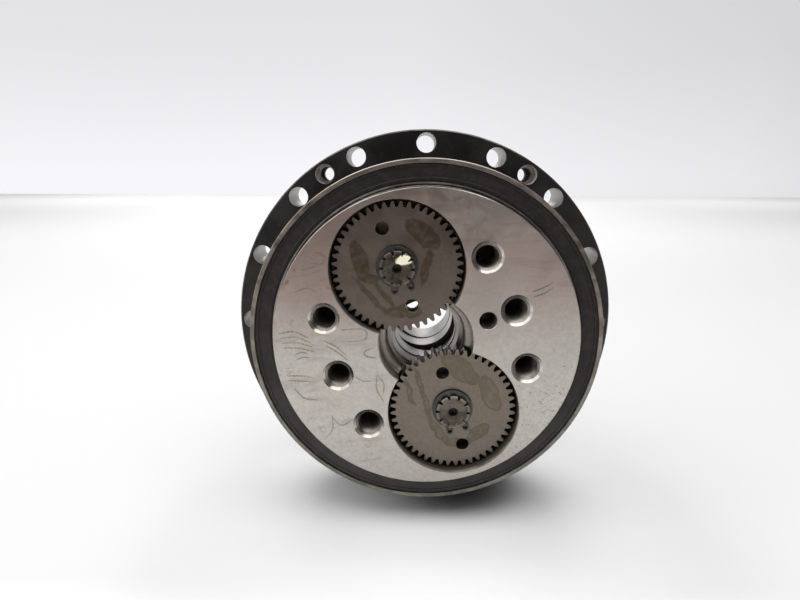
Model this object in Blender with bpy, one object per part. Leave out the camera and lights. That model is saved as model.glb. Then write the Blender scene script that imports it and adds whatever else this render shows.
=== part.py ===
"""Two-stage planetary and cycloidal gear set, built as separate named pieces.

World frame in metres.  +Z is up, the main axis is parallel to Y and the gear
side looks towards -Y.  The lowest facet of the flange lies on z = 0.
Angles are measured in the XZ plane, counter-clockwise as seen from the front.
"""
import math

import bpy
import bmesh
from mathutils.geometry import delaunay_2d_cdt

MM = 0.001
GAP = 0.3

CASE_SEGMENTS = 80
FLANGE_RADIUS = 95.0
FLANGE_FRONT = 1.2
FLANGE_BACK = 26.2
BARREL_RADIUS = 80.8
RIM_FRONT = -31.9
CASE_BACK = 35.0
SEAL_BORE = 78.8
SEAL_SEAT_END = -26.0
BEARING_BORE = 76.3
RIB_FRONT = -7.3
RIB_BACK = 20.5
RIB_BORE = 65.5
FLANGE_HOLE_CIRCLE = 88.65
FLANGE_HOLE_RADIUS = 4.75
FLANGE_HOLE_COUNT = 16
JACK_HOLE_RADIUS = 3.4
JACK_HOLE_DEPTH = 8.0
JACK_HOLE_ANGLES = (56.25, 123.75)

PIN_CIRCLE = 64.0
PIN_RADIUS = 3.0
PIN_COUNT = 40
PIN_BACK = 19.6
PIN_SIDES = 6
PIN_RING_INNER = 60.6
PIN_RING_OUTER = 67.4
PIN_RING_FRONT = -8.4
PIN_RING_BACK = -7.6

ECCENTRICITY = 1.3
CRANK_PHASE = -50.0
DISC_CLEARANCE = 0.55
DISC_BORE = 15.7
DISC_CRANK_BORE = 15.3
DISC_FRONT_Y = (-7.3, 4.7)
DISC_REAR_Y = (6.2, 18.2)
POINTS_PER_LOBE = 5
WINDOW_GROW = 2.5

CARRIER_ANGLE = 21.3
FACE_FRONT = -38.0
FACE_RADIUS = 68.5
LAND_RADIUS = 69.3
LAND_BACK = -22.4
SEAT_RADIUS = 60.0
SHAFT_FLANGE_BACK = -8.3
POCKET_RADIUS = 30.2
POCKET_FLOOR = -24.9
COUNTERBORE_RADIUS = 21.3
COUNTERBORE_FLOOR = -29.0
STEP_RADIUS = 18.5
STEP_FLOOR = -21.5
BORE_FRONT_RADIUS = 16.6
BORE_BACK_RADIUS = 15.0
TAP_RADIUS = 5.2
TAP_CHAMFER = 7.15
TAP_DEPTH = 24.0
TAP_POINTS = ((42.7, 0.0), (38.5, 27.0), (38.5, -27.0))
DOWEL_HOLE_RADIUS = 4.0
DOWEL_HOLE_POINT = (29.5, 0.0)
DOWEL_HOLE_DEPTH = 16.0
PILLAR_INNER = 29.5
PILLAR_OUTER = 54.0
PILLAR_HALF_ANGLE = 29.0
PILLAR_BACK = 19.4

HOLD_FRONT = 19.7
HOLD_BACK = 38.0
HOLD_LIP_FRONT = 35.7
HOLD_LIP_RADIUS = 66.0
HOLD_BORE = 14.6
BOLT_POINTS = ((45.5, 0.0), (41.3, 15.1), (41.3, -15.1))
BOLT_RADIUS = 4.0
BOLT_HEAD_RADIUS = 6.5
BOLT_HEAD_FRONT = 29.3
BOLT_HEAD_BACK = 37.2
BOLT_TIP = 1.0
BOLT_SEAT = 29.0
BOLT_SEAT_RADIUS = 7.0
TAPER_PIN_POINT = (33.8, 0.0)
TAPER_PIN_RADIUS = 3.0
TAPER_PIN_Y = (8.0, 36.8)

CRANK_DISTANCE = 36.0
CRANK_SEAT_RADIUS = 17.3
CRANK_SHOULDER_RADIUS = 14.0
CRANK_SEAT_FRONT = -21.3
CRANK_SEAT_BACK = 32.8
CRANK_JOURNAL = 10.0
CAM_RADIUS = 11.5
CAM_FRONT_Y = (-7.5, 4.9)
CAM_REAR_Y = (6.0, 18.4)
CRANK_FRONT = -37.0
CRANK_BACK = 33.5
CRANK_SHOULDER = -25.1
SPLINE_COUNT = 10
SPLINE_TIP = 7.9
SPLINE_ROOT = 6.8
SPLINE_PHASE = 16.0
GROOVE_RADIUS = 6.5
GROOVE_Y = (-35.2, -33.4)
CENTRE_DRILL = 2.3
CUP_OUTER = 17.0
CUP_INNER = 15.8
CUP_FRONT_Y = (-20.9, -8.9)
CUP_REAR_Y = (20.3, 32.4)
ROLLER_CIRCLE = 12.9
ROLLER_RADIUS = 2.6
ROLLER_COUNT = 8
NEEDLE_CIRCLE = 13.4
NEEDLE_RADIUS = 1.6
NEEDLE_COUNT = 10

GEAR_TEETH = 48
GEAR_MODULE = 1.2
GEAR_TIP = 29.3
GEAR_ROOT = 26.8
GEAR_Y = (-33.4, -25.4)
GEAR_TOOTH_PHASE = 4.5
GEAR_HOLE_DISTANCE = 18.5
GEAR_HOLE_RADIUS = 2.9
GEAR_HOLE_ANGLES = (111.3, 106.0)
CIRCLIP_Y = (-34.9, -33.7)
CIRCLIP_OPENING = -75.0

BALL_CIRCLE = 68.2
BALL_RADIUS = 3.6
BALL_COUNT = 16
BALL_FRONT_Y = -14.7
BALL_REAR_Y = 27.9
RING_SEGMENTS = 36

AXIS_Z = FLANGE_RADIUS * math.cos(math.pi / CASE_SEGMENTS)


def clear_scene():
    """Start from an empty scene."""
    for item in list(bpy.data.objects):
        bpy.data.objects.remove(item)


def polar(radius, degrees, centre=(0.0, 0.0)):
    """Point at a radius and angle about a centre in the XZ plane."""
    angle = math.radians(degrees)
    return (centre[0] + radius * math.cos(angle), centre[1] + radius * math.sin(angle))


def carrier_point(local, flip=False):
    """Point given along and across the pillar axis, in axis coordinates."""
    turn = CARRIER_ANGLE + (180.0 if flip else 0.0)
    radius = math.hypot(local[0], local[1])
    return polar(radius, turn + math.degrees(math.atan2(local[1], local[0])))


def circle(radius, count, centre=(0.0, 0.0), phase=0.5):
    """Regular polygon whose corners lie on a circle."""
    return [polar(radius, 360.0 * (k + phase) / count, centre) for k in range(count)]


def material(name, colour, roughness, metallic):
    """Own material for one piece."""
    made = bpy.data.materials.new(name)
    made.use_nodes = True
    shader = made.node_tree.nodes["Principled BSDF"]
    shader.inputs["Base Color"].default_value = (colour[0], colour[1], colour[2], 1.0)
    shader.inputs["Roughness"].default_value = roughness
    shader.inputs["Metallic"].default_value = metallic
    return made


STEEL = ((0.52, 0.50, 0.47), 0.38, 1.0)
GROUND = ((0.66, 0.64, 0.61), 0.30, 1.0)
DARK_STEEL = ((0.33, 0.31, 0.29), 0.42, 1.0)
BLACK_OXIDE = ((0.06, 0.06, 0.06), 0.55, 0.6)
RUBBER = ((0.07, 0.07, 0.075), 0.75, 0.0)
CAGE = ((0.45, 0.36, 0.20), 0.45, 0.8)


def finish_mesh(name, verts, faces, origin, look):
    """Object from millimetre points (x, y, z about the main axis)."""
    ox, oy, oz = origin
    points = [((x - ox) * MM, (y - oy) * MM, (z - oz) * MM) for x, y, z in verts]
    mesh = bpy.data.meshes.new(name)
    mesh.from_pydata(points, [], faces)
    work = bmesh.new()
    work.from_mesh(mesh)
    bmesh.ops.recalc_face_normals(work, faces=work.faces)
    work.to_mesh(mesh)
    work.free()
    made = bpy.data.objects.new(name, mesh)
    made.location = (ox * MM, oy * MM, oz * MM + AXIS_Z * MM)
    bpy.context.scene.collection.objects.link(made)
    if look is not None:
        mesh.materials.append(material(name + "_look", *look))
    mesh.shade_smooth()
    mesh.set_sharp_from_angle(angle=math.radians(32.0))
    for face in mesh.polygons:
        if abs(face.normal.y) > 0.999:
            face.use_smooth = False
    return made


def stack_data(loops, closed):
    """Vertices and faces of a skin through loops of equal point count."""
    verts = []
    faces = []
    starts = []
    for y, points in loops:
        starts.append((len(verts), len(points)))
        verts.extend((x, y, z) for x, z in points)
    pairs = list(zip(starts, starts[1:]))
    if closed:
        pairs.append((starts[-1], starts[0]))
    for (first, n_first), (second, n_second) in pairs:
        count = max(n_first, n_second)
        for k in range(count):
            j = (k + 1) % count
            if n_first == 1:
                faces.append((first, second + k, second + j))
            elif n_second == 1:
                faces.append((first + k, first + j, second))
            else:
                faces.append((first + k, first + j, second + j, second + k))
    if not closed:
        for start, count in (starts[0], starts[-1]):
            if count > 1:
                faces.append(tuple(range(start, start + count)))
    return verts, faces


def merge(groups):
    """Join several vertex and face lists into one pair."""
    verts = []
    faces = []
    for group_verts, group_faces in groups:
        base = len(verts)
        verts.extend(group_verts)
        faces.extend(tuple(base + i for i in face) for face in group_faces)
    return verts, faces


def turned(profile, count, centre=(0.0, 0.0), closed=True, phase=0.5):
    """Solid of revolution from (radius, y) pairs; radius 0 gives a tip."""
    loops = []
    for radius, y in profile:
        if radius == 0.0:
            loops.append((y, [centre]))
        else:
            loops.append((y, circle(radius, count, centre, phase)))
    return stack_data(loops, closed)


def inside(point, loop):
    """Even-odd test of a point against a closed loop."""
    x, z = point
    hit = False
    for (x0, z0), (x1, z1) in zip(loop, loop[1:] + loop[:1]):
        if (z0 > z) != (z1 > z) and x < (x1 - x0) * (z - z0) / (z1 - z0) + x0:
            hit = not hit
    return hit


def flat_region(loops):
    """Triangles over the first loop minus the others, indexed into all points."""
    points = []
    edges = []
    for loop in loops:
        base = len(points)
        count = len(loop)
        points.extend(loop)
        edges.extend((base + k, base + (k + 1) % count) for k in range(count))
    result = delaunay_2d_cdt(points, edges, [], 0, 1.0e-6)
    places, faces, origins = result[0], result[2], result[3]
    kept = []
    for face in faces:
        cx = sum(places[i][0] for i in face) / len(face)
        cz = sum(places[i][1] for i in face) / len(face)
        if not inside((cx, cz), loops[0]):
            continue
        if any(inside((cx, cz), hole) for hole in loops[1:]):
            continue
        kept.append(tuple(origins[i][0] for i in face))
    return kept


def plate_data(loops, y_front, y_back):
    """Flat plate with holes: first loop outside, the rest holes."""
    cap = flat_region(loops)
    flat = [point for loop in loops for point in loop]
    total = len(flat)
    verts = [(x, y_front, z) for x, z in flat] + [(x, y_back, z) for x, z in flat]
    faces = list(cap)
    faces.extend(tuple(total + i for i in reversed(face)) for face in cap)
    base = 0
    for loop in loops:
        count = len(loop)
        for k in range(count):
            j = (k + 1) % count
            faces.append((base + k, base + j, total + base + j, total + base + k))
        base += count
    return verts, faces


def boolean(target, helper, operation, name):
    """Exact boolean with a helper that stays in the scene as a wire."""
    helper.hide_render = True
    helper.display_type = "WIRE"
    step = target.modifiers.new(name, "BOOLEAN")
    step.operation = operation
    step.solver = "EXACT"
    step.object = helper


def sector(inner, outer, half, grow, flip):
    """Pillar outline, or its window when grown, as a closed loop."""
    turn = CARRIER_ANGLE + (180.0 if flip else 0.0)
    low = inner - grow
    high = outer + grow
    low_half = half + math.degrees(math.asin(grow / low))
    high_half = half + math.degrees(math.asin(grow / high))
    points = [polar(low, turn + low_half * (1.0 - k / 2.0)) for k in range(5)]
    points.extend(polar(high, turn + high_half * (k / 3.0 - 1.0)) for k in range(7))
    return points


def crank_centre(index):
    """Axis point of crank 0 (upper) or 1 (lower)."""
    return polar(CRANK_DISTANCE, CARRIER_ANGLE + 90.0 + 180.0 * index)


def eccentric(rear):
    """Offset of the front or rear eccentric from its crank axis."""
    return polar(ECCENTRICITY, CRANK_PHASE + (180.0 if rear else 0.0))


def add(first, second):
    """Sum of two plane points."""
    return (first[0] + second[0], first[1] + second[1])


def build_case():
    """Flanged outer case with pin grooves and bolt holes."""
    profile = [(BARREL_RADIUS, RIM_FRONT), (BARREL_RADIUS, FLANGE_FRONT)]
    profile += [(FLANGE_RADIUS, FLANGE_FRONT), (FLANGE_RADIUS, FLANGE_BACK)]
    profile += [(BARREL_RADIUS, FLANGE_BACK), (BARREL_RADIUS, CASE_BACK)]
    profile += [(BEARING_BORE, CASE_BACK), (BEARING_BORE, RIB_BACK)]
    profile += [(RIB_BORE, RIB_BACK), (RIB_BORE, RIB_FRONT)]
    profile += [(BEARING_BORE, RIB_FRONT), (BEARING_BORE, SEAL_SEAT_END)]
    profile += [(SEAL_BORE, SEAL_SEAT_END), (SEAL_BORE, RIM_FRONT)]
    verts, faces = turned(profile, CASE_SEGMENTS)
    case = finish_mesh("case", verts, faces, (0, 0, 0), BLACK_OXIDE)
    groups = []
    groove = (PIN_RADIUS + GAP) / math.cos(math.pi / PIN_SIDES)
    for k in range(PIN_COUNT):
        centre = polar(PIN_CIRCLE, 360.0 * k / PIN_COUNT)
        loop = circle(groove, PIN_SIDES, centre, k * PIN_SIDES / PIN_COUNT + 0.5)
        groups.append(stack_data([(RIB_FRONT - 1.0, loop), (RIB_BACK + 1.0, loop)], False))
    for k in range(FLANGE_HOLE_COUNT):
        centre = polar(FLANGE_HOLE_CIRCLE, 90.0 + 360.0 * k / FLANGE_HOLE_COUNT)
        loop = circle(FLANGE_HOLE_RADIUS, 10, centre)
        groups.append(stack_data([(FLANGE_FRONT - 1.0, loop), (FLANGE_BACK + 1.0, loop)], False))
    for degrees in JACK_HOLE_ANGLES:
        centre = polar(FLANGE_HOLE_CIRCLE, degrees)
        step = FLANGE_FRONT + JACK_HOLE_DEPTH
        profile = [(FLANGE_HOLE_RADIUS, FLANGE_FRONT - 1.0), (FLANGE_HOLE_RADIUS, step)]
        profile += [(JACK_HOLE_RADIUS, step), (JACK_HOLE_RADIUS, FLANGE_BACK + 1.0)]
        groups.append(turned(profile, 10, centre, False))
    verts, faces = merge(groups)
    cuts = finish_mesh("case_cuts", verts, faces, (0, 0, 0), None)
    boolean(case, cuts, "DIFFERENCE", "holes_and_grooves")


def build_ring_pins():
    """Forty ring pins on one thin locating ring."""
    outer = circle(PIN_RING_OUTER, PIN_COUNT)
    inner = circle(PIN_RING_INNER, PIN_COUNT)
    pins = []
    for k in range(PIN_COUNT):
        centre = polar(PIN_CIRCLE, 360.0 * k / PIN_COUNT)
        pins.append(circle(PIN_RADIUS, PIN_SIDES, centre, k * PIN_SIDES / PIN_COUNT + 0.5))
    verts = []
    faces = []
    for y in (PIN_RING_FRONT, PIN_RING_BACK):
        verts.extend((x, y, z) for x, z in outer)
        verts.extend((x, y, z) for x, z in inner)
    n = PIN_COUNT
    for k in range(n):
        j = (k + 1) % n
        faces.append((k, j, n + j, n + k))
        faces.append((k, j, 2 * n + j, 2 * n + k))
        faces.append((n + k, n + j, 3 * n + j, 3 * n + k))
    base = len(verts)
    for y in (PIN_RING_BACK, PIN_BACK):
        for pin in pins:
            verts.extend((x, y, z) for x, z in pin)
    total = PIN_COUNT * PIN_SIDES
    for k in range(PIN_COUNT):
        start = base + k * PIN_SIDES
        for m in range(PIN_SIDES):
            j = (m + 1) % PIN_SIDES
            faces.append((start + m, start + j, total + start + j, total + start + m))
        faces.append(tuple(total + start + m for m in range(PIN_SIDES)))
    for face in flat_region([outer, inner] + pins):
        faces.append(tuple(2 * n + i if i < 2 * n else base + i - 2 * n for i in face))
    finish_mesh("ring_pins", verts, faces, (0, 0, 0), GROUND)


def build_seal():
    """Rubber shaft seal between the case rim and the carrier land."""
    profile = [(78.5, -30.9), (78.5, -26.5), (76.0, -26.5)]
    profile += [(76.0, -29.3), (69.7, -27.4), (71.3, -30.9)]
    verts, faces = turned(profile, RING_SEGMENTS)
    finish_mesh("oil_seal", verts, faces, (0, 0, 0), RUBBER)


def ball_ring_data(y_centre):
    """Balls strung on a thin cage, as one closed body."""
    stations = ((-2.45, 2.6), (0.0, BALL_RADIUS), (2.45, 2.6), (None, 0.9))
    verts = []
    faces = []
    sides = 6
    for k in range(BALL_COUNT):
        for shift, radius in stations:
            middle = 360.0 * k / BALL_COUNT
            if shift is None:
                angle = middle + 180.0 / BALL_COUNT
            else:
                angle = middle + math.degrees(shift / BALL_CIRCLE)
            for m in range(sides):
                turn = 2.0 * math.pi * m / sides
                x, z = polar(BALL_CIRCLE + radius * math.cos(turn), angle)
                verts.append((x, y_centre + radius * math.sin(turn), z))
    rows = BALL_COUNT * len(stations)
    for row in range(rows):
        start = row * sides
        ahead = (row + 1) % rows * sides
        for m in range(sides):
            j = (m + 1) % sides
            faces.append((start + m, start + j, ahead + j, ahead + m))
    return verts, faces


def build_main_bearing(place, y_ball, side):
    """Outer ring, inner ring and ball set of one angular-contact bearing."""
    outer = [(76.0, -6.6), (76.0, 7.1), (70.4, 7.1), (70.4, 3.4), (72.35, 1.4), (72.35, -6.6)]
    inner = [(60.3, -7.4), (60.3, 6.0), (64.05, 6.0), (64.05, -1.4), (66.0, -3.4), (66.0, -7.4)]
    for part, shape in (("outer_ring", outer), ("inner_ring", inner)):
        profile = [(radius, y_ball + side * shift) for radius, shift in shape]
        verts, faces = turned(profile, RING_SEGMENTS)
        finish_mesh(place + "_bearing_" + part, verts, faces, (0, 0, 0), GROUND)
    verts, faces = ball_ring_data(y_ball)
    finish_mesh(place + "_bearing_balls", verts, faces, (0, y_ball, 0), CAGE)


def build_shaft_flange():
    """Front carrier half with gear pockets and two pillars."""
    profile = [(FACE_RADIUS, FACE_FRONT), (LAND_RADIUS, FACE_FRONT + 0.8)]
    profile += [(LAND_RADIUS, LAND_BACK), (SEAT_RADIUS, LAND_BACK)]
    profile += [(SEAT_RADIUS, SHAFT_FLANGE_BACK), (BORE_BACK_RADIUS, SHAFT_FLANGE_BACK)]
    profile += [(BORE_FRONT_RADIUS, STEP_FLOOR), (STEP_RADIUS, STEP_FLOOR)]
    profile += [(STEP_RADIUS, COUNTERBORE_FLOOR), (COUNTERBORE_RADIUS, COUNTERBORE_FLOOR)]
    profile += [(COUNTERBORE_RADIUS, FACE_FRONT)]
    verts, faces = turned(profile, 48)
    flange = finish_mesh("shaft_flange", verts, faces, (0, 0, 0), GROUND)
    groups = []
    for flip in (False, True):
        loop = sector(PILLAR_INNER, PILLAR_OUTER, PILLAR_HALF_ANGLE, 0.0, flip)
        groups.append(stack_data([(SHAFT_FLANGE_BACK - 2.0, loop), (PILLAR_BACK, loop)], False))
    verts, faces = merge(groups)
    pillars = finish_mesh("shaft_flange_pillars", verts, faces, (0, 0, 0), None)
    boolean(flange, pillars, "UNION", "pillars")
    groups = []
    for index in (0, 1):
        profile = [(POCKET_RADIUS, FACE_FRONT - 1.0), (POCKET_RADIUS, POCKET_FLOOR)]
        profile += [(CRANK_SHOULDER_RADIUS, POCKET_FLOOR), (CRANK_SHOULDER_RADIUS, CRANK_SEAT_FRONT)]
        profile += [(CRANK_SEAT_RADIUS, CRANK_SEAT_FRONT), (CRANK_SEAT_RADIUS, SHAFT_FLANGE_BACK + 1.0)]
        groups.append(turned(profile, 32, crank_centre(index), False))
    tap = [(TAP_CHAMFER + 0.4, FACE_FRONT - 0.4), (TAP_RADIUS, FACE_FRONT + TAP_CHAMFER - TAP_RADIUS)]
    tap += [(TAP_RADIUS, FACE_FRONT + TAP_DEPTH), (0.0, FACE_FRONT + TAP_DEPTH + 2.5)]
    for flip in (False, True):
        for local in TAP_POINTS:
            groups.append(turned(tap, 10, carrier_point(local, flip), False))
        for local in BOLT_POINTS:
            profile = [(BOLT_RADIUS + GAP, PILLAR_BACK + 1.0), (BOLT_RADIUS + GAP, BOLT_TIP - 2.0)]
            groups.append(turned(profile, 10, carrier_point(local, flip), False))
        centre = carrier_point(TAPER_PIN_POINT, flip)
        profile = [(TAPER_PIN_RADIUS + GAP, PILLAR_BACK + 1.0)]
        profile += [(TAPER_PIN_RADIUS + GAP, TAPER_PIN_Y[0] - 0.5)]
        groups.append(turned(profile, 10, centre, False))
    dowel = [(DOWEL_HOLE_RADIUS, FACE_FRONT - 1.0), (DOWEL_HOLE_RADIUS, FACE_FRONT + DOWEL_HOLE_DEPTH)]
    groups.append(turned(dowel, 14, carrier_point(DOWEL_HOLE_POINT), False))
    verts, faces = merge(groups)
    cuts = finish_mesh("shaft_flange_cuts", verts, faces, (0, 0, 0), None)
    boolean(flange, cuts, "DIFFERENCE", "pockets_and_holes")


def build_hold_flange():
    """Rear carrier half clamped to the pillars."""
    profile = [(HOLD_BORE, HOLD_FRONT), (SEAT_RADIUS, HOLD_FRONT), (SEAT_RADIUS, HOLD_LIP_FRONT)]
    profile += [(HOLD_LIP_RADIUS, HOLD_LIP_FRONT), (HOLD_LIP_RADIUS, HOLD_BACK), (HOLD_BORE, HOLD_BACK)]
    verts, faces = turned(profile, 48)
    flange = finish_mesh("hold_flange", verts, faces, (0, 0, 0), STEEL)
    groups = []
    for index in (0, 1):
        profile = [(CRANK_SEAT_RADIUS, HOLD_FRONT - 1.0), (CRANK_SEAT_RADIUS, CRANK_SEAT_BACK)]
        profile += [(CRANK_SHOULDER_RADIUS, CRANK_SEAT_BACK), (CRANK_SHOULDER_RADIUS, HOLD_BACK + 1.0)]
        groups.append(turned(profile, 24, crank_centre(index), False))
    for flip in (False, True):
        for local in BOLT_POINTS:
            profile = [(BOLT_RADIUS + 0.4, HOLD_FRONT - 1.0), (BOLT_RADIUS + 0.4, BOLT_SEAT)]
            profile += [(BOLT_SEAT_RADIUS, BOLT_SEAT), (BOLT_SEAT_RADIUS, HOLD_BACK + 1.0)]
            groups.append(turned(profile, 10, carrier_point(local, flip), False))
        profile = [(TAPER_PIN_RADIUS + GAP, HOLD_FRONT - 1.0), (TAPER_PIN_RADIUS + GAP, HOLD_BACK + 1.0)]
        groups.append(turned(profile, 10, carrier_point(TAPER_PIN_POINT, flip), False))
    verts, faces = merge(groups)
    cuts = finish_mesh("hold_flange_cuts", verts, faces, (0, 0, 0), None)
    boolean(flange, cuts, "DIFFERENCE", "bores_and_holes")


def build_fasteners():
    """Clamp bolts and locating pins of the carrier."""
    number = 0
    for flip in (False, True):
        for local in BOLT_POINTS:
            number += 1
            centre = carrier_point(local, flip)
            loops = [(BOLT_TIP, circle(BOLT_RADIUS, 12, centre))]
            loops.append((BOLT_HEAD_FRONT, circle(BOLT_RADIUS, 12, centre)))
            loops.append((BOLT_HEAD_FRONT, circle(BOLT_HEAD_RADIUS, 12, centre)))
            loops.append((BOLT_HEAD_BACK, circle(BOLT_HEAD_RADIUS, 12, centre)))
            socket = [polar(3.0 if k % 2 else 3.46, 30.0 * k + 15.0, centre) for k in range(12)]
            loops.append((BOLT_HEAD_BACK, socket))
            loops.append((BOLT_HEAD_BACK - 4.0, socket))
            verts, faces = stack_data(loops, False)
            origin = (centre[0], BOLT_HEAD_FRONT, centre[1])
            finish_mesh("clamp_bolt_%d" % number, verts, faces, origin, BLACK_OXIDE)
        centre = carrier_point(TAPER_PIN_POINT, flip)
        profile = [(TAPER_PIN_RADIUS, TAPER_PIN_Y[0]), (TAPER_PIN_RADIUS, TAPER_PIN_Y[1])]
        verts, faces = turned(profile, 12, centre, False)
        origin = (centre[0], TAPER_PIN_Y[0], centre[1])
        finish_mesh("locating_pin_%d" % (2 if flip else 1), verts, faces, origin, GROUND)


def cycloid_outline(rear):
    """Lobed outline about the disc centre, turned to mesh with the ring pins."""
    lobes = PIN_COUNT - 1
    reach = PIN_RADIUS + DISC_CLEARANCE
    phase = CRANK_PHASE + (180.0 if rear else 0.0)
    turn = math.radians(-phase / lobes)
    points = []
    count = lobes * POINTS_PER_LOBE
    for k in range(count):
        t = 2.0 * math.pi * k / count
        x = PIN_CIRCLE * math.cos(t) - ECCENTRICITY * math.cos(PIN_COUNT * t)
        z = PIN_CIRCLE * math.sin(t) - ECCENTRICITY * math.sin(PIN_COUNT * t)
        nx = -PIN_CIRCLE * math.cos(t) + PIN_COUNT * ECCENTRICITY * math.cos(PIN_COUNT * t)
        nz = -PIN_CIRCLE * math.sin(t) + PIN_COUNT * ECCENTRICITY * math.sin(PIN_COUNT * t)
        size = math.hypot(nx, nz)
        x += reach * nx / size
        z += reach * nz / size
        points.append((x * math.cos(turn) - z * math.sin(turn), x * math.sin(turn) + z * math.cos(turn)))
    return points


def build_disc(rear):
    """Cycloid disc with centre bore, two crank bores and two pillar windows."""
    offset = eccentric(rear)
    loops = [[add(point, offset) for point in cycloid_outline(rear)]]
    loops.append(circle(DISC_BORE, 24, offset))
    for index in (0, 1):
        loops.append(circle(DISC_CRANK_BORE, 24, add(crank_centre(index), offset)))
    for flip in (False, True):
        window = sector(PILLAR_INNER, PILLAR_OUTER, PILLAR_HALF_ANGLE, WINDOW_GROW, flip)
        loops.append([add(point, offset) for point in window])
    y_front, y_back = DISC_REAR_Y if rear else DISC_FRONT_Y
    verts, faces = plate_data(loops, y_front, y_back)
    pivot = add(crank_centre(0), offset)
    origin = (pivot[0], y_front, pivot[1])
    finish_mesh("disc_rear" if rear else "disc_front", verts, faces, origin, STEEL)


def spline_loop(centre, lift=0.0):
    """Splined outline with two corners per tooth and one in each gap."""
    points = []
    pitch = 360.0 / SPLINE_COUNT
    for k in range(SPLINE_COUNT):
        middle = SPLINE_PHASE + pitch * k
        points.append(polar(SPLINE_TIP + lift, middle - 0.30 * pitch, centre))
        points.append(polar(SPLINE_TIP + lift, middle + 0.30 * pitch, centre))
        points.append(polar(SPLINE_ROOT + lift, middle + 0.50 * pitch, centre))
    return points


def build_crank(index, letter):
    """Crankshaft with splined end, two opposed eccentrics and journals."""
    centre = crank_centre(index)
    count = 3 * SPLINE_COUNT
    phase = (SPLINE_PHASE - 0.30 * 360.0 / SPLINE_COUNT) * count / 360.0
    front = add(centre, eccentric(False))
    rear = add(centre, eccentric(True))
    spline = spline_loop(centre)
    groove = circle(GROOVE_RADIUS, count, centre, phase)
    journal = circle(CRANK_JOURNAL, count, centre, phase)
    drill = circle(CENTRE_DRILL, count, centre, phase)
    loops = [(CRANK_FRONT + 3.5, [centre]), (CRANK_FRONT, drill), (CRANK_FRONT, spline)]
    loops += [(GROOVE_Y[0], spline), (GROOVE_Y[0], groove), (GROOVE_Y[1], groove)]
    loops += [(GROOVE_Y[1], spline), (CRANK_SHOULDER, spline), (CRANK_SHOULDER, journal)]
    loops += [(CAM_FRONT_Y[0], journal), (CAM_FRONT_Y[0], circle(CAM_RADIUS, count, front, phase))]
    loops += [(CAM_FRONT_Y[1], circle(CAM_RADIUS, count, front, phase)), (CAM_FRONT_Y[1], journal)]
    loops += [(CAM_REAR_Y[0], journal), (CAM_REAR_Y[0], circle(CAM_RADIUS, count, rear, phase))]
    loops += [(CAM_REAR_Y[1], circle(CAM_RADIUS, count, rear, phase)), (CAM_REAR_Y[1], journal)]
    loops += [(CRANK_BACK, journal)]
    verts, faces = stack_data(loops, False)
    origin = (centre[0], CRANK_FRONT, centre[1])
    finish_mesh("crankshaft_" + letter, verts, faces, origin, DARK_STEEL)


def tooth_outline(centre):
    """Spur gear outline with four corners per tooth."""
    pitch = 360.0 / GEAR_TEETH
    points = []
    for k in range(GEAR_TEETH):
        middle = GEAR_TOOTH_PHASE + pitch * k
        points.append(polar(GEAR_ROOT, middle - 0.36 * pitch, centre))
        points.append(polar(GEAR_TIP, middle - 0.13 * pitch, centre))
        points.append(polar(GEAR_TIP, middle + 0.13 * pitch, centre))
        points.append(polar(GEAR_ROOT, middle + 0.36 * pitch, centre))
    return points


def build_gear(index, letter):
    """Planet spur gear with splined bore and two jacking holes."""
    centre = crank_centre(index)
    loops = [tooth_outline(centre), spline_loop(centre, GAP)]
    for turn in (0.0, 180.0):
        hole = polar(GEAR_HOLE_DISTANCE, GEAR_HOLE_ANGLES[index] + turn, centre)
        loops.append(circle(GEAR_HOLE_RADIUS, 12, hole))
    verts, faces = plate_data(loops, GEAR_Y[0], GEAR_Y[1])
    origin = (centre[0], GEAR_Y[0], centre[1])
    finish_mesh("spur_gear_" + letter, verts, faces, origin, DARK_STEEL)


def build_circlip(index, letter):
    """External retaining ring with two drilled lugs."""
    centre = crank_centre(index)
    outline = []
    for k in range(17):
        swing = 32.0 + k * (360.0 - 64.0) / 16.0
        radius = 9.3 - 0.6 * math.cos(math.radians(swing))
        outline.append(polar(radius, CIRCLIP_OPENING + swing, centre))
    for radius, swing in ((11.6, -29.0), (12.1, -21.0), (11.6, -13.0), (7.0, -11.0)):
        outline.append(polar(radius, CIRCLIP_OPENING + swing, centre))
    for k in range(15):
        swing = -24.0 - k * (360.0 - 48.0) / 14.0
        outline.append(polar(7.0, CIRCLIP_OPENING + swing, centre))
    for radius, swing in ((7.0, 11.0), (11.6, 13.0), (12.1, 21.0), (11.6, 29.0)):
        outline.append(polar(radius, CIRCLIP_OPENING + swing, centre))
    loops = [outline]
    for swing in (-21.0, 21.0):
        loops.append(circle(0.9, 6, polar(10.3, CIRCLIP_OPENING + swing, centre)))
    verts, faces = plate_data(loops, CIRCLIP_Y[0], CIRCLIP_Y[1])
    origin = (centre[0], CIRCLIP_Y[0], centre[1])
    finish_mesh("circlip_" + letter, verts, faces, origin, BLACK_OXIDE)


def roller_loops(centre, circle_radius, roller_radius, count):
    """Outer and inner outline of a ring of rollers joined by their cage."""
    outer = []
    inner = []
    for k in range(count):
        angle = 360.0 * k / count
        middle = polar(circle_radius, angle, centre)
        outer.extend(polar(roller_radius, angle + swing, middle) for swing in (-62.0, 0.0, 62.0))
        inner.extend(polar(roller_radius, angle + 180.0 - swing, middle) for swing in (-62.0, 0.0, 62.0))
    return [outer, inner]


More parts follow.
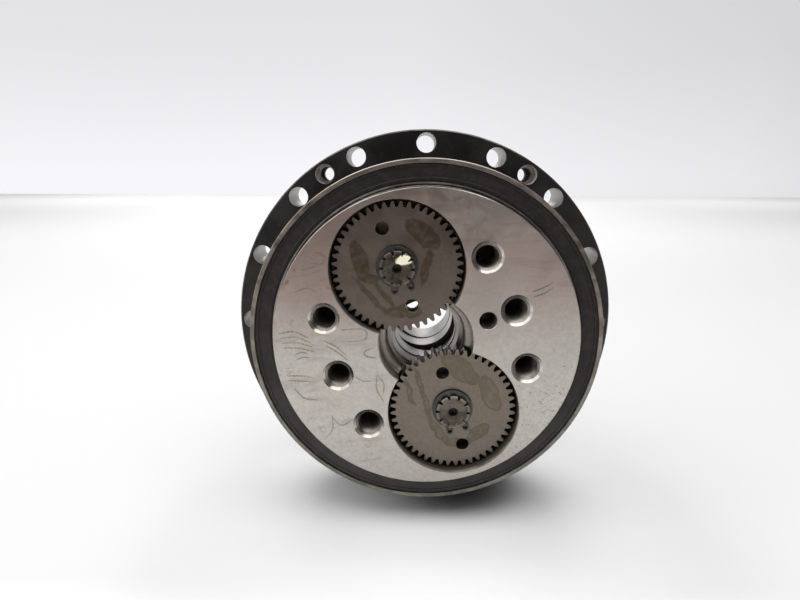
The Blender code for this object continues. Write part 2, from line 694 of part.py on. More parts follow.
def build_crank_bearings(index, letter):
    """Cups and roller sets at both ends of one crank, needle sets on its eccentrics."""
    centre = crank_centre(index)
    for place, (y_front, y_back) in (("front", CUP_FRONT_Y), ("rear", CUP_REAR_Y)):
        profile = [(CUP_OUTER, y_front), (CUP_OUTER, y_back), (CUP_INNER, y_back), (CUP_INNER, y_front)]
        verts, faces = turned(profile, 24, centre)
        origin = (centre[0], y_front, centre[1])
        finish_mesh("crank_%s_%s_cup" % (letter, place), verts, faces, origin, GROUND)
        loops = roller_loops(centre, ROLLER_CIRCLE, ROLLER_RADIUS, ROLLER_COUNT)
        verts, faces = plate_data(loops, y_front + 0.5, y_back - 0.5)
        finish_mesh("crank_%s_%s_rollers" % (letter, place), verts, faces, origin, CAGE)
    for place, rear, (y_front, y_back) in (("front", False, DISC_FRONT_Y), ("rear", True, DISC_REAR_Y)):
        middle = add(centre, eccentric(rear))
        loops = roller_loops(middle, NEEDLE_CIRCLE, NEEDLE_RADIUS, NEEDLE_COUNT)
        verts, faces = plate_data(loops, y_front + 0.6, y_back - 0.6)
        origin = (middle[0], y_front, middle[1])
        finish_mesh("crank_%s_%s_needles" % (letter, place), verts, faces, origin, CAGE)


def main():
    """Build every piece."""
    clear_scene()
    build_case()
    build_ring_pins()
    build_seal()
    build_main_bearing("front", BALL_FRONT_Y, 1.0)
    build_main_bearing("rear", BALL_REAR_Y, -1.0)
    build_shaft_flange()
    build_hold_flange()
    build_fasteners()
    build_disc(False)
    build_disc(True)
    for index, letter in ((0, "a"), (1, "b")):
        build_crank(index, letter)
        build_gear(index, letter)
        build_circlip(index, letter)
        build_crank_bearings(index, letter)


main()
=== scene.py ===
"""Finished look of the planetary gear set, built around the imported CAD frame.

Lengths are in millimetres and turned into metres by MM.  Plane points are
(x, z) about the main axis, seen from the gear side; y runs to the rear.
"""

import math

import bpy
import bmesh
from mathutils import Matrix, Vector
from mathutils.geometry import delaunay_2d_cdt


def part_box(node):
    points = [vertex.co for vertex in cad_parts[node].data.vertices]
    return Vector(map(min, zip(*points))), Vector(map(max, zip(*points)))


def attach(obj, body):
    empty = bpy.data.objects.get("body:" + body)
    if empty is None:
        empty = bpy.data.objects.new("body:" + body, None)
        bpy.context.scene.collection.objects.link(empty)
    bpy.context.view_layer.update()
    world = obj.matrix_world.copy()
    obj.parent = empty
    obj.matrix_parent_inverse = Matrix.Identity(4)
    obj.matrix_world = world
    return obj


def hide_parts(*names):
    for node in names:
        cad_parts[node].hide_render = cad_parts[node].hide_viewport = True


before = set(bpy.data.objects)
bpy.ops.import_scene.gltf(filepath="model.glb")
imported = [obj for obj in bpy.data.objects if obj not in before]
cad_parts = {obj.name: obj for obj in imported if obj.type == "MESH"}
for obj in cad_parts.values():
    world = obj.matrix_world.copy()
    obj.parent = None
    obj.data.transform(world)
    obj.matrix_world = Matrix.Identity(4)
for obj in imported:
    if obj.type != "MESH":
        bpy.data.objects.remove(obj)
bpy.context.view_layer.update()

MM = 0.001
RIM_FRONT = -31.9
FLANGE_FRONT = 1.2
FLANGE_BACK = 26.2
CASE_BACK = 35.0
FACE_FRONT = -38.0
POCKET_FLOOR = -24.9
STEP_FLOOR = -21.5
SHAFT_FLANGE_BACK = -8.3
HOLD_FRONT = 19.7
HOLD_BACK = 38.0
CARRIER_ANGLE = 21.3
CRANK_DISTANCE = 36.0
ECCENTRICITY = 1.3
CRANK_PHASE = -50.0
LOBES = 39
POINTS_PER_LOBE = 20
DISC_REACH = 3.55  # pin radius and clearance
FLANGE_HOLE_CIRCLE = 88.65
TAP_POINTS = ((42.7, 0.0), (38.5, 27.0), (38.5, -27.0))
BOLT_POINTS = ((45.5, 0.0), (41.3, 15.1), (41.3, -15.1))
GEAR_TEETH = 48
SPLINE_COUNT = 10
SPLINE_PHASE = 16.0
CIRCLIP_OPENING = -75.0
BALL_CIRCLE = 68.2
BALL_RADIUS = 3.6
BALL_COUNT = 16
BALL_REAR_Y = 27.9
ROLLER_CIRCLE = 12.9
ROLLER_RADIUS = 2.6
ROLLER_COUNT = 8
CUP_REAR_Y = (20.3, 32.4)
FLOOR_REACH = 4.0  # metres
CAMERA_TURNS = (0.2278, -0.0150, -0.0076)  # pitch, yaw and roll in radians
CAMERA_OFFSET = (12.305, -10.684, -283.437)  # flange centre as the camera sees it
CAMERA_LENS = 24.669
STAIN_WOBBLE = 2.2

case_low, case_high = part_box("case")
AXIS_Z = 0.5 * (case_low[2] + case_high[2]) / MM


# ---------------------------------------------------------------- geometry

def polar(radius, degrees, centre=(0.0, 0.0)):
    """Point at a radius and angle about a centre."""
    angle = math.radians(degrees)
    return (centre[0] + radius * math.cos(angle), centre[1] + radius * math.sin(angle))


def circle(radius, count, centre=(0.0, 0.0), phase=0.0):
    """Closed loop of points on a circle."""
    return [polar(radius, 360.0 * (k + phase) / count, centre) for k in range(count)]


def add(first, second):
    """Sum of two plane points."""
    return (first[0] + second[0], first[1] + second[1])


def carrier_point(local, flip=False):
    """Point given along and across the pillar axis."""
    turn = CARRIER_ANGLE + (180.0 if flip else 0.0)
    return polar(math.hypot(*local), turn + math.degrees(math.atan2(local[1], local[0])))


def crank_centre(index):
    """Axis point of crank 0 (upper) or 1 (lower)."""
    return polar(CRANK_DISTANCE, CARRIER_ANGLE + 90.0 + 180.0 * index)


def eccentric(rear):
    """Offset of the front or rear eccentric from its crank axis."""
    return polar(ECCENTRICITY, CRANK_PHASE + (180.0 if rear else 0.0))


def skin(loops, closed=False):
    """Vertices and faces of a skin through loops of equal point count."""
    verts = []
    faces = []
    starts = []
    for y, points in loops:
        starts.append((len(verts), len(points)))
        verts.extend((x, y, z) for x, z in points)
    pairs = list(zip(starts, starts[1:]))
    if closed:
        pairs.append((starts[-1], starts[0]))
    for (first, n_first), (second, n_second) in pairs:
        count = max(n_first, n_second)
        for k in range(count):
            j = (k + 1) % count
            if n_first == 1:
                faces.append((first, second + k, second + j))
            elif n_second == 1:
                faces.append((first + k, first + j, second))
            else:
                faces.append((first + k, first + j, second + j, second + k))
    if not closed:
        for start, count in (starts[0], starts[-1]):
            if count > 1:
                faces.append(tuple(range(start, start + count)))
    return verts, faces


def turned(profile, count, centre=(0.0, 0.0), closed=True):
    """Solid of revolution from (radius, y) pairs; radius 0 gives a tip."""
    loops = []
    for radius, y in profile:
        loops.append((y, [centre] if radius == 0.0 else circle(radius, count, centre)))
    return skin(loops, closed)


def merge(groups):
    """Join several vertex and face lists into one pair."""
    verts = []
    faces = []
    for group_verts, group_faces in groups:
        base = len(verts)
        verts.extend(group_verts)
        faces.extend(tuple(base + i for i in face) for face in group_faces)
    return verts, faces


def inside(point, loop):
    """Even-odd test of a point against a closed loop."""
    x, z = point
    hit = False
    for (x0, z0), (x1, z1) in zip(loop, loop[1:] + loop[:1]):
        if (z0 > z) != (z1 > z) and x < (x1 - x0) * (z - z0) / (z1 - z0) + x0:
            hit = not hit
    return hit


def flat_region(loops):
    """Triangles over the first loop minus the others."""
    points = []
    edges = []
    for loop in loops:
        base = len(points)
        points.extend(loop)
        edges.extend((base + k, base + (k + 1) % len(loop)) for k in range(len(loop)))
    result = delaunay_2d_cdt(points, edges, [], 0, 1.0e-6)
    kept = []
    for face in result[2]:
        cx = sum(result[0][i][0] for i in face) / len(face)
        cz = sum(result[0][i][1] for i in face) / len(face)
        if inside((cx, cz), loops[0]) and not any(inside((cx, cz), hole) for hole in loops[1:]):
            kept.append(tuple(result[3][i][0] for i in face))
    return kept


def shrink(loop, amount):
    """Loop moved inwards (to the left of its running direction) by an amount."""
    moved = []
    count = len(loop)
    for k in range(count):
        before = Vector(loop[k - 1])
        here = Vector(loop[k])
        after = Vector(loop[(k + 1) % count])
        first = (here - before).normalized()
        second = (after - here).normalized()
        normal = Vector((-first.y - second.y, first.x + second.x))
        normal.normalize()
        lean = max(0.45, normal.dot(Vector((-first.y, first.x))))
        moved.append(tuple(here + normal * amount / lean))
    return moved


def plate(loops, y_front, y_back, chamfer):
    """Flat plate with holes and chamfered edges; all loops run counter-clockwise."""
    front = [shrink(loops[0], chamfer)] + [shrink(loop, -chamfer) for loop in loops[1:]]
    cap = flat_region(front)
    flat = [point for loop in loops for point in loop]
    inset = [point for loop in front for point in loop]
    total = len(flat)
    verts = []
    for y, row in ((y_front, inset), (y_front + chamfer, flat), (y_back - chamfer, flat), (y_back, inset)):
        verts.extend((x, y, z) for x, z in row)
    faces = list(cap)
    faces.extend(tuple(3 * total + i for i in reversed(face)) for face in cap)
    base = 0
    for loop in loops:
        count = len(loop)
        for row in range(3):
            low = row * total + base
            for k in range(count):
                j = (k + 1) % count
                faces.append((low + k, low + j, low + total + j, low + total + k))
        base += count
    return verts, faces


def new_object(name, data):
    """Object at the world origin from millimetre points."""
    verts, faces = data
    mesh = bpy.data.meshes.new(name)
    mesh.from_pydata([(x * MM, y * MM, (z + AXIS_Z) * MM) for x, y, z in verts], [], faces)
    work = bmesh.new()
    work.from_mesh(mesh)
    bmesh.ops.recalc_face_normals(work, faces=work.faces)
    work.to_mesh(mesh)
    work.free()
    made = bpy.data.objects.new(name, mesh)
    bpy.context.scene.collection.objects.link(made)
    return made


def carve(target, data, operation="DIFFERENCE"):
    """Exact boolean, applied at once so that no helper is left."""
    helper = new_object(target.name + "_helper", data)
    step = target.modifiers.new("carve", "BOOLEAN")
    step.operation = operation
    step.solver = "EXACT"
    step.object = helper
    graph = bpy.context.evaluated_depsgraph_get()
    result = bpy.data.meshes.new_from_object(target.evaluated_get(graph))
    target.modifiers.clear()
    target.data = result
    bpy.data.objects.remove(helper)


def dress(target, body, node, looks, choose=None):
    """Shade, give materials, hand the piece to its body and hide its CAD node.

    choose returns the look of a face; without it every face has the first look.
    """
    mesh = target.data
    mesh.materials.clear()
    for look in looks:
        mesh.materials.append(look)
    mesh.shade_smooth()
    mesh.set_sharp_from_angle(angle=math.radians(28.0))
    for face in mesh.polygons:
        if abs(face.normal.y) > 0.9995:
            face.use_smooth = False
        face.material_index = looks.index(choose(face)) if choose else 0
    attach(target, body)
    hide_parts(node)


# --------------------------------------------------------------- materials

class Look:
    """Small helper that strings shader nodes together for one material."""

    def __init__(self, name, roughness, metallic):
        self.material = bpy.data.materials.new(name)
        self.material.use_nodes = True
        self.tree = self.material.node_tree
        self.shader = self.tree.nodes["Principled BSDF"]
        self.shader.inputs["Metallic"].default_value = metallic
        self.shader.inputs["Roughness"].default_value = roughness
        coords = self.tree.nodes.new("ShaderNodeTexCoord")
        shift = self.node("ShaderNodeVectorMath", operation="SUBTRACT")
        shift.inputs[1].default_value = (0.0, 0.0, AXIS_Z * MM)
        self.join(coords.outputs["Object"], shift.inputs[0])
        self.place = shift.outputs[0]
        split = self.node("ShaderNodeSeparateXYZ")
        self.join(self.place, split.inputs[0])
        self.x, self.y, self.z = split.outputs
        self.wavy = None

    def node(self, kind, **settings):
        """New shader node with plain attributes set."""
        made = self.tree.nodes.new(kind)
        for key, value in settings.items():
            setattr(made, key, value)
        return made

    def join(self, source, target):
        """Link an output, or give a plain number, to an input."""
        if isinstance(source, (int, float)):
            target.default_value = source
        else:
            self.tree.links.new(source, target)

    def maths(self, operation, first, second=0.0, clamp=False):
        """One arithmetic step on sockets or numbers."""
        step = self.node("ShaderNodeMath", operation=operation, use_clamp=clamp)
        for socket, value in zip(step.inputs, (first, second)):
            self.join(value, socket)
        return step.outputs[0]

    def times(self, first, second):
        """Product of sockets or numbers."""
        return self.maths("MULTIPLY", first, second)

    def plus(self, first, second):
        """Sum of sockets or numbers."""
        return self.maths("ADD", first, second)

    def noise(self, scale, detail=4.0, distortion=0.0, vector=None, rough=0.55):
        """Noise value at a scale in cycles per metre."""
        step = self.node("ShaderNodeTexNoise")
        step.inputs["Scale"].default_value = scale
        step.inputs["Detail"].default_value = detail
        step.inputs["Roughness"].default_value = rough
        step.inputs["Distortion"].default_value = distortion
        self.join(vector or self.place, step.inputs["Vector"])
        return step.outputs["Fac"]

    def radius(self, centre=(0.0, 0.0)):
        """Distance from an axis parallel to Y, in metres."""
        dx = self.maths("SUBTRACT", self.x, centre[0] * MM)
        dz = self.maths("SUBTRACT", self.z, centre[1] * MM)
        total = self.plus(self.times(dx, dx), self.times(dz, dz))
        return self.maths("SQRT", total)

    def radius_about(self, x, y):
        """Distance from a vertical line, in metres."""
        dx = self.maths("SUBTRACT", self.x, x)
        dy = self.maths("SUBTRACT", self.y, y)
        total = self.plus(self.times(dx, dx), self.times(dy, dy))
        return self.maths("SQRT", total)

    def stretched(self, degrees, along, across, source=None):
        """Coordinates turned in the face plane and scaled apart, for streaks."""
        c, s = math.cos(math.radians(degrees)), math.sin(math.radians(degrees))
        pack = self.node("ShaderNodeCombineXYZ")
        for target, axis, scale in ((0, (c, 0.0, s), along), (1, (-s, 0.0, c), across)):
            dot = self.node("ShaderNodeVectorMath", operation="DOT_PRODUCT")
            dot.inputs[1].default_value = [value * scale for value in axis]
            self.join(source or self.place, dot.inputs[0])
            self.join(dot.outputs["Value"], pack.inputs[target])
        return pack.outputs[0]

    def rings(self, centre, scale):
        """Fine turning marks around an axis."""
        pack = self.node("ShaderNodeCombineXYZ")
        self.join(self.radius(centre), pack.inputs[0])
        self.join(self.times(self.y, 0.3), pack.inputs[1])
        return self.noise(scale, 3.0, 0.0, pack.outputs[0], 0.7)

    def band(self, value, low, high, clamp_low=0.0, clamp_high=1.0):
        """Smooth ramp of a value between two limits."""
        step = self.node("ShaderNodeMapRange", interpolation_type="SMOOTHSTEP")
        self.join(value, step.inputs["Value"])
        step.inputs["From Min"].default_value = low
        step.inputs["From Max"].default_value = high
        step.inputs["To Min"].default_value = clamp_low
        step.inputs["To Max"].default_value = clamp_high
        return step.outputs["Result"]

    def waved(self, amount):
        """Coordinates pushed about by noise, so that edges run unevenly."""
        wave = self.node("ShaderNodeTexNoise")
        wave.inputs["Scale"].default_value = 190.0
        wave.inputs["Detail"].default_value = 5.0
        self.join(self.place, wave.inputs["Vector"])
        lean = self.node("ShaderNodeVectorMath", operation="SUBTRACT")
        self.join(wave.outputs["Color"], lean.inputs[0])
        lean.inputs[1].default_value = (0.5, 0.5, 0.5)
        small = self.node("ShaderNodeVectorMath", operation="SCALE")
        small.inputs["Scale"].default_value = 2.0 * amount * MM
        self.join(lean.outputs[0], small.inputs[0])
        total = self.node("ShaderNodeVectorMath", operation="ADD")
        self.join(self.place, total.inputs[0])
        self.join(small.outputs[0], total.inputs[1])
        return total.outputs[0]

    def smear(self, stain, centre, soft):
        """Mask of one long stain: x, z, length, width and tilt about a centre."""
        x, z, length, width, tilt = stain
        place = add(centre, (x, z))
        c, s = math.cos(math.radians(tilt)), math.sin(math.radians(tilt))
        along, across = 2.0 / length, 2.0 / width
        grid = self.stretched(tilt, along / MM, across / MM, self.wavy)
        shift = self.node("ShaderNodeVectorMath", operation="SUBTRACT")
        self.join(grid, shift.inputs[0])
        middle = ((place[0] * c + place[1] * s) * along, (place[1] * c - place[0] * s) * across, 0.0)
        shift.inputs[1].default_value = middle
        size = self.node("ShaderNodeVectorMath", operation="LENGTH")
        self.join(shift.outputs[0], size.inputs[0])
        fade = min(soft / width, 0.6)
        return self.band(size.outputs["Value"], 1.0 + fade, 1.0 - fade)

    def smears(self, stains, centre, soft=0.5):
        """Greatest of several stains."""
        if self.wavy is None:
            self.wavy = self.waved(STAIN_WOBBLE)
        total = 0.0
        for stain in stains:
            total = self.maths("MAXIMUM", self.smear(stain, centre, soft), total)
        return total

    def mix(self, factor, first, second):
        """Colour between two colours or sockets."""
        step = self.node("ShaderNodeMix", data_type="RGBA")
        self.join(factor, step.inputs["Factor"])
        for socket, value in ((step.inputs[6], first), (step.inputs[7], second)):
            if isinstance(value, tuple):
                socket.default_value = (value[0], value[1], value[2], 1.0)
            else:
                self.join(value, socket)
        return step.outputs[2]

    def over(self, base, tone, mask, share):
        """Base with a tone laid over it where a mask says, at a greatest share."""
        return self.mix(self.times(mask, share), base, tone)

    def colour(self, value):
        """Send a colour to the shader."""
        self.join(value, self.shader.inputs["Base Color"])
        return self

    def rough(self, value):
        """Send a roughness to the shader."""
        self.join(value, self.shader.inputs["Roughness"])
        return self

    def bump(self, height, strength, distance):
        """Send a height to the shader as bump."""
        step = self.node("ShaderNodeBump")
        step.inputs["Strength"].default_value = strength
        step.inputs["Distance"].default_value = distance * MM
        self.join(height, step.inputs["Height"])
        self.join(step.outputs[0], self.shader.inputs["Normal"])
        return self


def black_oxide():
    """Matt black-oxidised turned iron with faint rub marks."""
    look = Look("black_oxide", 0.5, 0.55)
    cloud = look.noise(45.0, 5.0, 0.4)
    rub = look.band(look.noise(420.0, 6.0, 1.5), 0.60, 0.74)
    base = look.mix(look.band(cloud, 0.35, 0.65), (0.013, 0.012, 0.012), (0.030, 0.027, 0.026))
    look.colour(look.over(base, (0.11, 0.10, 0.095), rub, 0.35))
    look.rough(look.band(cloud, 0.3, 0.7, 0.42, 0.60))
    return look.bump(look.rings((0.0, 0.0), 2600.0), 0.12, 0.05).material


def bare_rim():
    """Bare turned metal with a grey-brown tint, small dents and a painted highlight along its top."""
    look = Look("bare_rim", 0.38, 1.0)
    cloud = look.noise(120.0, 5.0, 0.6)
    warm = look.mix(look.band(cloud, 0.35, 0.7), (0.140, 0.117, 0.097), (0.32, 0.275, 0.235))
    green = look.mix(look.band(cloud, 0.35, 0.7), (0.110, 0.112, 0.090), (0.225, 0.225, 0.190))
    base = look.mix(look.band(look.z, 0.02, -0.04), warm, green)
    # Painted highlight: lighter along the top of the rim.
    base = look.mix(look.band(look.z, 0.052, 0.080), base, (0.34, 0.30, 0.265))
    spots = look.band(look.noise(900.0, 4.0), 0.62, 0.74)
    look.colour(look.over(base, (0.08, 0.07, 0.06), spots, 0.5))
    look.rough(look.band(cloud, 0.3, 0.7, 0.30, 0.46))
    return look.bump(look.rings((0.0, 0.0), 5200.0), 0.25, 0.04).material


def seal_rubber():
    """Matt rubber with moulding haze, a slight oil sheen and a painted reflection of the floor that lightens
    its lower half.
    """
    look = Look("seal_rubber_look", 0.62, 0.0)
    cloud = look.noise(60.0, 5.0, 0.5)
    # Painted reflection of the pale floor: the rubber is lighter towards the bottom.
    base = look.mix(look.band(look.z, 0.03, -0.07), (0.013, 0.011, 0.010), (0.046, 0.041, 0.040))
    blotch = look.band(look.noise(260.0, 5.0, 0.6), 0.40, 0.66)
    base = look.over(base, (0.060, 0.050, 0.045), blotch, 0.22)
    look.colour(look.mix(look.band(cloud, 0.35, 0.75, 0.0, 0.35), base, (0.020, 0.017, 0.015)))
    look.shader.inputs["Specular IOR Level"].default_value = 0.28
    look.rough(look.band(cloud, 0.3, 0.7, 0.50, 0.72))
    return look.bump(look.noise(1500.0, 4.0), 0.15, 0.06).material


def ground_face():
    """Ground steel face: grinding arcs, smears, rust spots, a warm reddish tint towards the top and upper
    left, and dark specks.
    """
    look = Look("ground_face", 0.34, 1.0)
    cloud = look.noise(38.0, 5.0, 0.8)
    base = look.mix(look.band(cloud, 0.35, 0.68), (0.385, 0.362, 0.330), (0.450, 0.427, 0.397))
    grain = look.band(look.noise(620.0, 6.0, 0.2, None, 0.75), 0.36, 0.64)
    base = look.over(base, (0.31, 0.29, 0.255), grain, 0.50)
    high = look.band(look.z, -0.008, 0.044)
    top_edge = look.times(look.band(look.z, 0.036, 0.058), look.band(look.x, 0.0, 0.012))
    base = look.over(base, (0.445, 0.350, 0.312), high, 0.75)
    base = look.over(base, (0.52, 0.455, 0.415), top_edge, 0.6)
    dull = look.smears(((22, 13, 30, 22, 0),), (0.0, 0.0), 12.0)
    base = look.over(base, (0.315, 0.285, 0.255), dull, 0.40)
    smear = look.band(look.noise(1.0, 4.0, 0.6, look.stretched(4.0, 42.0, 260.0)), 0.48, 0.68)
    smear = look.times(smear, look.band(look.z, 0.006, 0.028))
    base = look.over(base, (0.31, 0.205, 0.175), smear, 0.35)
    left = look.band(look.x, -0.010, -0.046)
    upper = look.band(look.z, -0.004, 0.024)
    veil = look.times(look.times(left, upper), look.band(cloud, 0.3, 0.6))
    base = look.over(base, (0.27, 0.190, 0.165), veil, 0.55)
    rust = look.band(look.noise(150.0, 5.0, 0.9), 0.56, 0.68)
    rust = look.times(rust, look.times(left, upper))
    base = look.over(base, (0.28, 0.15, 0.11), rust, 0.8)
    lower = look.band(look.z, 0.012, -0.008)
    sweep = look.times(look.band(look.z, 0.008, 0.0), look.band(look.x, -0.008, -0.024))
    smudge = look.band(look.noise(1.0, 5.0, 0.8, look.stretched(6.0, 50.0, 190.0)), 0.50, 0.70)
    smudge = look.times(smudge, sweep)
    base = look.over(base, (0.20, 0.185, 0.155), smudge, 0.34)
    specks = look.band(look.noise(1100.0, 3.0), 0.63, 0.70)
    right = look.times(look.band(look.x, 0.005, 0.04), look.band(look.z, 0.01, -0.03))
    right = look.maths("MAXIMUM", right, look.times(lower, 0.35))
    specks = look.times(specks, right)
    base = look.over(base, (0.17, 0.15, 0.12), specks, 0.8)
    scuff = look.band(look.noise(1.0, 4.0, 0.3, look.stretched(-18.0, 330.0, 1500.0)), 0.60, 0.68)
    corner = look.times(look.band(look.x, 0.026, 0.044), look.band(look.z, 0.0, -0.02))
    scuff = look.times(scuff, corner)
    base = look.over(base, (0.13, 0.11, 0.085), scuff, 0.75)
    fleck = look.band(look.noise(240.0, 5.0, 1.2), 0.64, 0.70)
    fleck = look.times(fleck, lower)
    base = look.over(base, (0.24, 0.22, 0.17), fleck, 0.5)
    look.colour(base)
    scratch = look.band(look.noise(700.0, 6.0, 0.3), 0.3, 0.7, -0.03, 0.05)
    look.rough(look.plus(look.band(cloud, 0.3, 0.7, 0.30, 0.40), scratch))
    marks = look.rings((92.0, -64.0), 3400.0)
    return look.bump(look.plus(marks, look.times(grain, 0.5)), 0.12, 0.03).material


def bright_edge(name, tint, base_rough=0.18):
    """Polished chamfer or wall with turning marks."""
    look = Look(name, base_rough, 1.0)
    cloud = look.noise(90.0, 4.0, 0.5)
    dark = (tint[0] * 0.62, tint[1] * 0.60, tint[2] * 0.57)
    look.colour(look.mix(look.band(cloud, 0.3, 0.7), dark, tint))
    look.rough(look.band(cloud, 0.3, 0.7, base_rough, base_rough + 0.16))
    return look.bump(look.rings((0.0, 0.0), 4200.0), 0.15, 0.04).material


def soft_wall(name, light, dark, painted_shade_deeper=False):
    """Oily machined wall that scatters light more than it mirrors; with the flag set, painted shade darkens
    it deeper into the pocket.
    """
    look = Look(name, 0.55, 0.35)
    cloud = look.noise(210.0, 5.0, 0.6)
    base = look.mix(look.band(cloud, 0.32, 0.68), dark, light)
    if painted_shade_deeper:
        # Painted shade: darker deeper into the pocket.
        base = look.mix(look.band(look.y, -0.0375, -0.0345), base, (0.075, 0.062, 0.050))
    look.colour(base)
    look.rough(look.band(cloud, 0.3, 0.7, 0.45, 0.62))
    return look.bump(look.noise(1600.0, 4.0), 0.15, 0.05).material


def gear_steel(name, centre, tones, stain_tone, stains):
    """Heat-treated gear steel with dried oil stains and a little mottling."""
    look = Look(name, 0.42, 1.0)
    cloud = look.noise(70.0, 5.0, 0.6)
    base = look.mix(look.band(cloud, 0.32, 0.7), tones[0], tones[1])
    grain = look.band(look.noise(800.0, 5.0, 0.2, None, 0.7), 0.36, 0.64)
    base = look.over(base, (0.095, 0.080, 0.065), grain, 0.25)
    uneven = look.band(look.noise(240.0, 5.0, 0.8), 0.30, 0.62, 0.35, 1.0)
    whole = look.smears(stains, centre, 1.2)
    patch = look.times(whole, uneven)
    base = look.mix(look.times(patch, 0.78), base, stain_tone)
    border = look.times(whole, look.maths("SUBTRACT", 1.0, whole))
    base = look.over(base, (0.058, 0.042, 0.027), border, 1.5)
    streak = look.band(look.noise(95.0, 3.0, 2.2), 0.58, 0.68)
    base = look.over(base, (0.135, 0.10, 0.07), streak, 0.25)
    specks = look.band(look.noise(1300.0, 3.0), 0.66, 0.72)
    look.colour(look.over(base, (0.07, 0.055, 0.04), specks, 0.5))
    wet = look.times(patch, -0.05)
    look.rough(look.plus(look.band(cloud, 0.3, 0.7, 0.36, 0.48), wet))
    return look.bump(look.rings(centre, 3000.0), 0.12, 0.04).material


def shaft_end(name, centre, painted_glare):
    """Oily end face of a splined shaft; the listed patches get a painted highlight: a cream colour without
    metal that stands in for glare on the oil.
    """
    look = Look(name, 0.36, 1.0)
    cloud = look.noise(230.0, 4.0, 0.5)
    base = look.mix(look.band(cloud, 0.34, 0.66), (0.050, 0.041, 0.030), (0.125, 0.108, 0.090))
    far = look.band(look.radius(centre), 0.0062, 0.0079)
    base = look.over(base, (0.34, 0.31, 0.27), far, 0.4)
    # Painted highlight: cream patches stand in for glare on the oily end face.
    glare_mask = look.smears(painted_glare, centre, 0.7)
    look.colour(look.mix(glare_mask, base, (0.92, 0.88, 0.66)))
    if painted_glare:
        look.join(look.maths("SUBTRACT", 1.0, glare_mask), look.shader.inputs["Metallic"])
    look.rough(look.band(cloud, 0.3, 0.7, 0.28, 0.44))
    return look.bump(cloud, 0.15, 0.05).material


def tooth_steel():
    """Darker, oily flanks between the teeth."""
    look = Look("tooth_steel", 0.36, 1.0)
    cloud = look.noise(260.0, 4.0, 0.4)
    look.colour(look.mix(look.band(cloud, 0.3, 0.7), (0.10, 0.085, 0.07), (0.22, 0.19, 0.16)))
    look.rough(look.band(cloud, 0.3, 0.7, 0.26, 0.44))
    return look.bump(look.noise(900.0, 4.0), 0.15, 0.05).material


def turned_steel(name, light, dark, ring_scale, centre=(0.0, 0.0), base_rough=0.30):
    """Plain turned steel with soft stains and fine rings."""
    look = Look(name, base_rough, 1.0)
    cloud = look.noise(85.0, 5.0, 0.6)
    base = look.mix(look.band(cloud, 0.32, 0.7), dark, light)
    stain = look.band(look.noise(230.0, 5.0, 1.0), 0.60, 0.72)
    look.colour(look.over(base, (0.20, 0.16, 0.115), stain, 0.45))
    look.rough(look.band(cloud, 0.3, 0.7, base_rough - 0.05, base_rough + 0.10))
    return look.bump(look.rings(centre, ring_scale), 0.15, 0.04).material


def cage_steel():
    """Steel bearing cages and rolling elements."""
    look = Look("cage_look", 0.35, 1.0)
    cloud = look.noise(140.0, 4.0, 0.4)
    look.colour(look.mix(look.band(cloud, 0.3, 0.7), (0.20, 0.19, 0.175), (0.33, 0.31, 0.285)))
    look.rough(look.band(cloud, 0.3, 0.7, 0.26, 0.42))
    return look.bump(look.noise(700.0, 3.0), 0.1, 0.05).material


BLACK = black_oxide()
RIM = bare_rim()
RUBBER = seal_rubber()
FACE = ground_face()
EDGE = bright_edge("polished_edge", (0.46, 0.44, 0.40))
CHAMFER = bright_edge("tap_chamfer", (0.52, 0.50, 0.46))
WALL = bright_edge("pocket_wall", (0.38, 0.35, 0.315), 0.34)
BORE = turned_steel("bore_steel", (0.30, 0.288, 0.268), (0.23, 0.22, 0.205), 2600.0)
STEEL = turned_steel("turned_steel_look", (0.55, 0.53, 0.50), (0.42, 0.40, 0.37), 2800.0)
GROUND = turned_steel("ground_steel_look", (0.66, 0.64, 0.61), (0.52, 0.50, 0.47), 3600.0)
TOOTH = tooth_steel()
CAGE = cage_steel()
# Dried oil on each gear, placed about its axis in whole
# millimetres and degrees: x, z, length, width, tilt.
UPPER_STAINS = (
    (11, 15, 18, 8, -40),
    (13, 0, 14, 3, 80),
    (-17, 3, 16, 7, -75),
    (-13, -5, 9, 4, -10),
    (-11, -14, 20, 2, -48),
    (-5, -13, 14, 2, -54),
    (3, -20, 15, 6, 0),
)
LOWER_STAINS = (
    (3, 20, 20, 9, -40),
    (17, 8, 18, 8, -65),
    (-14, 7, 27, 2, -74),
    (-20, 8, 11, 2, -70),
    (-6, -12, 14, 4, -55),
    (2, -17, 12, 4, -5),
    (12, -12, 13, 6, 40),
)
# Painted highlight on the upper shaft end, standing in for glare: x, z, length, width, tilt.
UPPER_PAINTED_GLARE = ((3, 4, 7, 4, 15),)
UPPER_TONES = ((0.130, 0.103, 0.085), (0.164, 0.134, 0.114))
LOWER_TONES = ((0.154, 0.130, 0.106), (0.188, 0.164, 0.137))
GEAR_LOOKS = [
    gear_steel("gear_steel_a", crank_centre(0), UPPER_TONES, (0.062, 0.050, 0.027), UPPER_STAINS),
    gear_steel("gear_steel_b", crank_centre(1), LOWER_TONES, (0.100, 0.082, 0.058), LOWER_STAINS),
]
SHAFT_LOOKS = [
    shaft_end("shaft_end_a", crank_centre(0), UPPER_PAINTED_GLARE),
    shaft_end("shaft_end_b", crank_centre(1), ()),
]
# Thread and deep-hole walls are darker than the other steel: painted shade inside the holes.
THREAD = turned_steel("thread_steel_painted_shade", (0.30, 0.28, 0.25), (0.15, 0.135, 0.115), 2200.0, base_rough=0.34)
DEEP = soft_wall("deep_hole_painted_shade", (0.30, 0.265, 0.235), (0.17, 0.15, 0.13))
OIL = turned_steel("oil_line", (0.32, 0.30, 0.265), (0.19, 0.175, 0.145), 1500.0, base_rough=0.36)
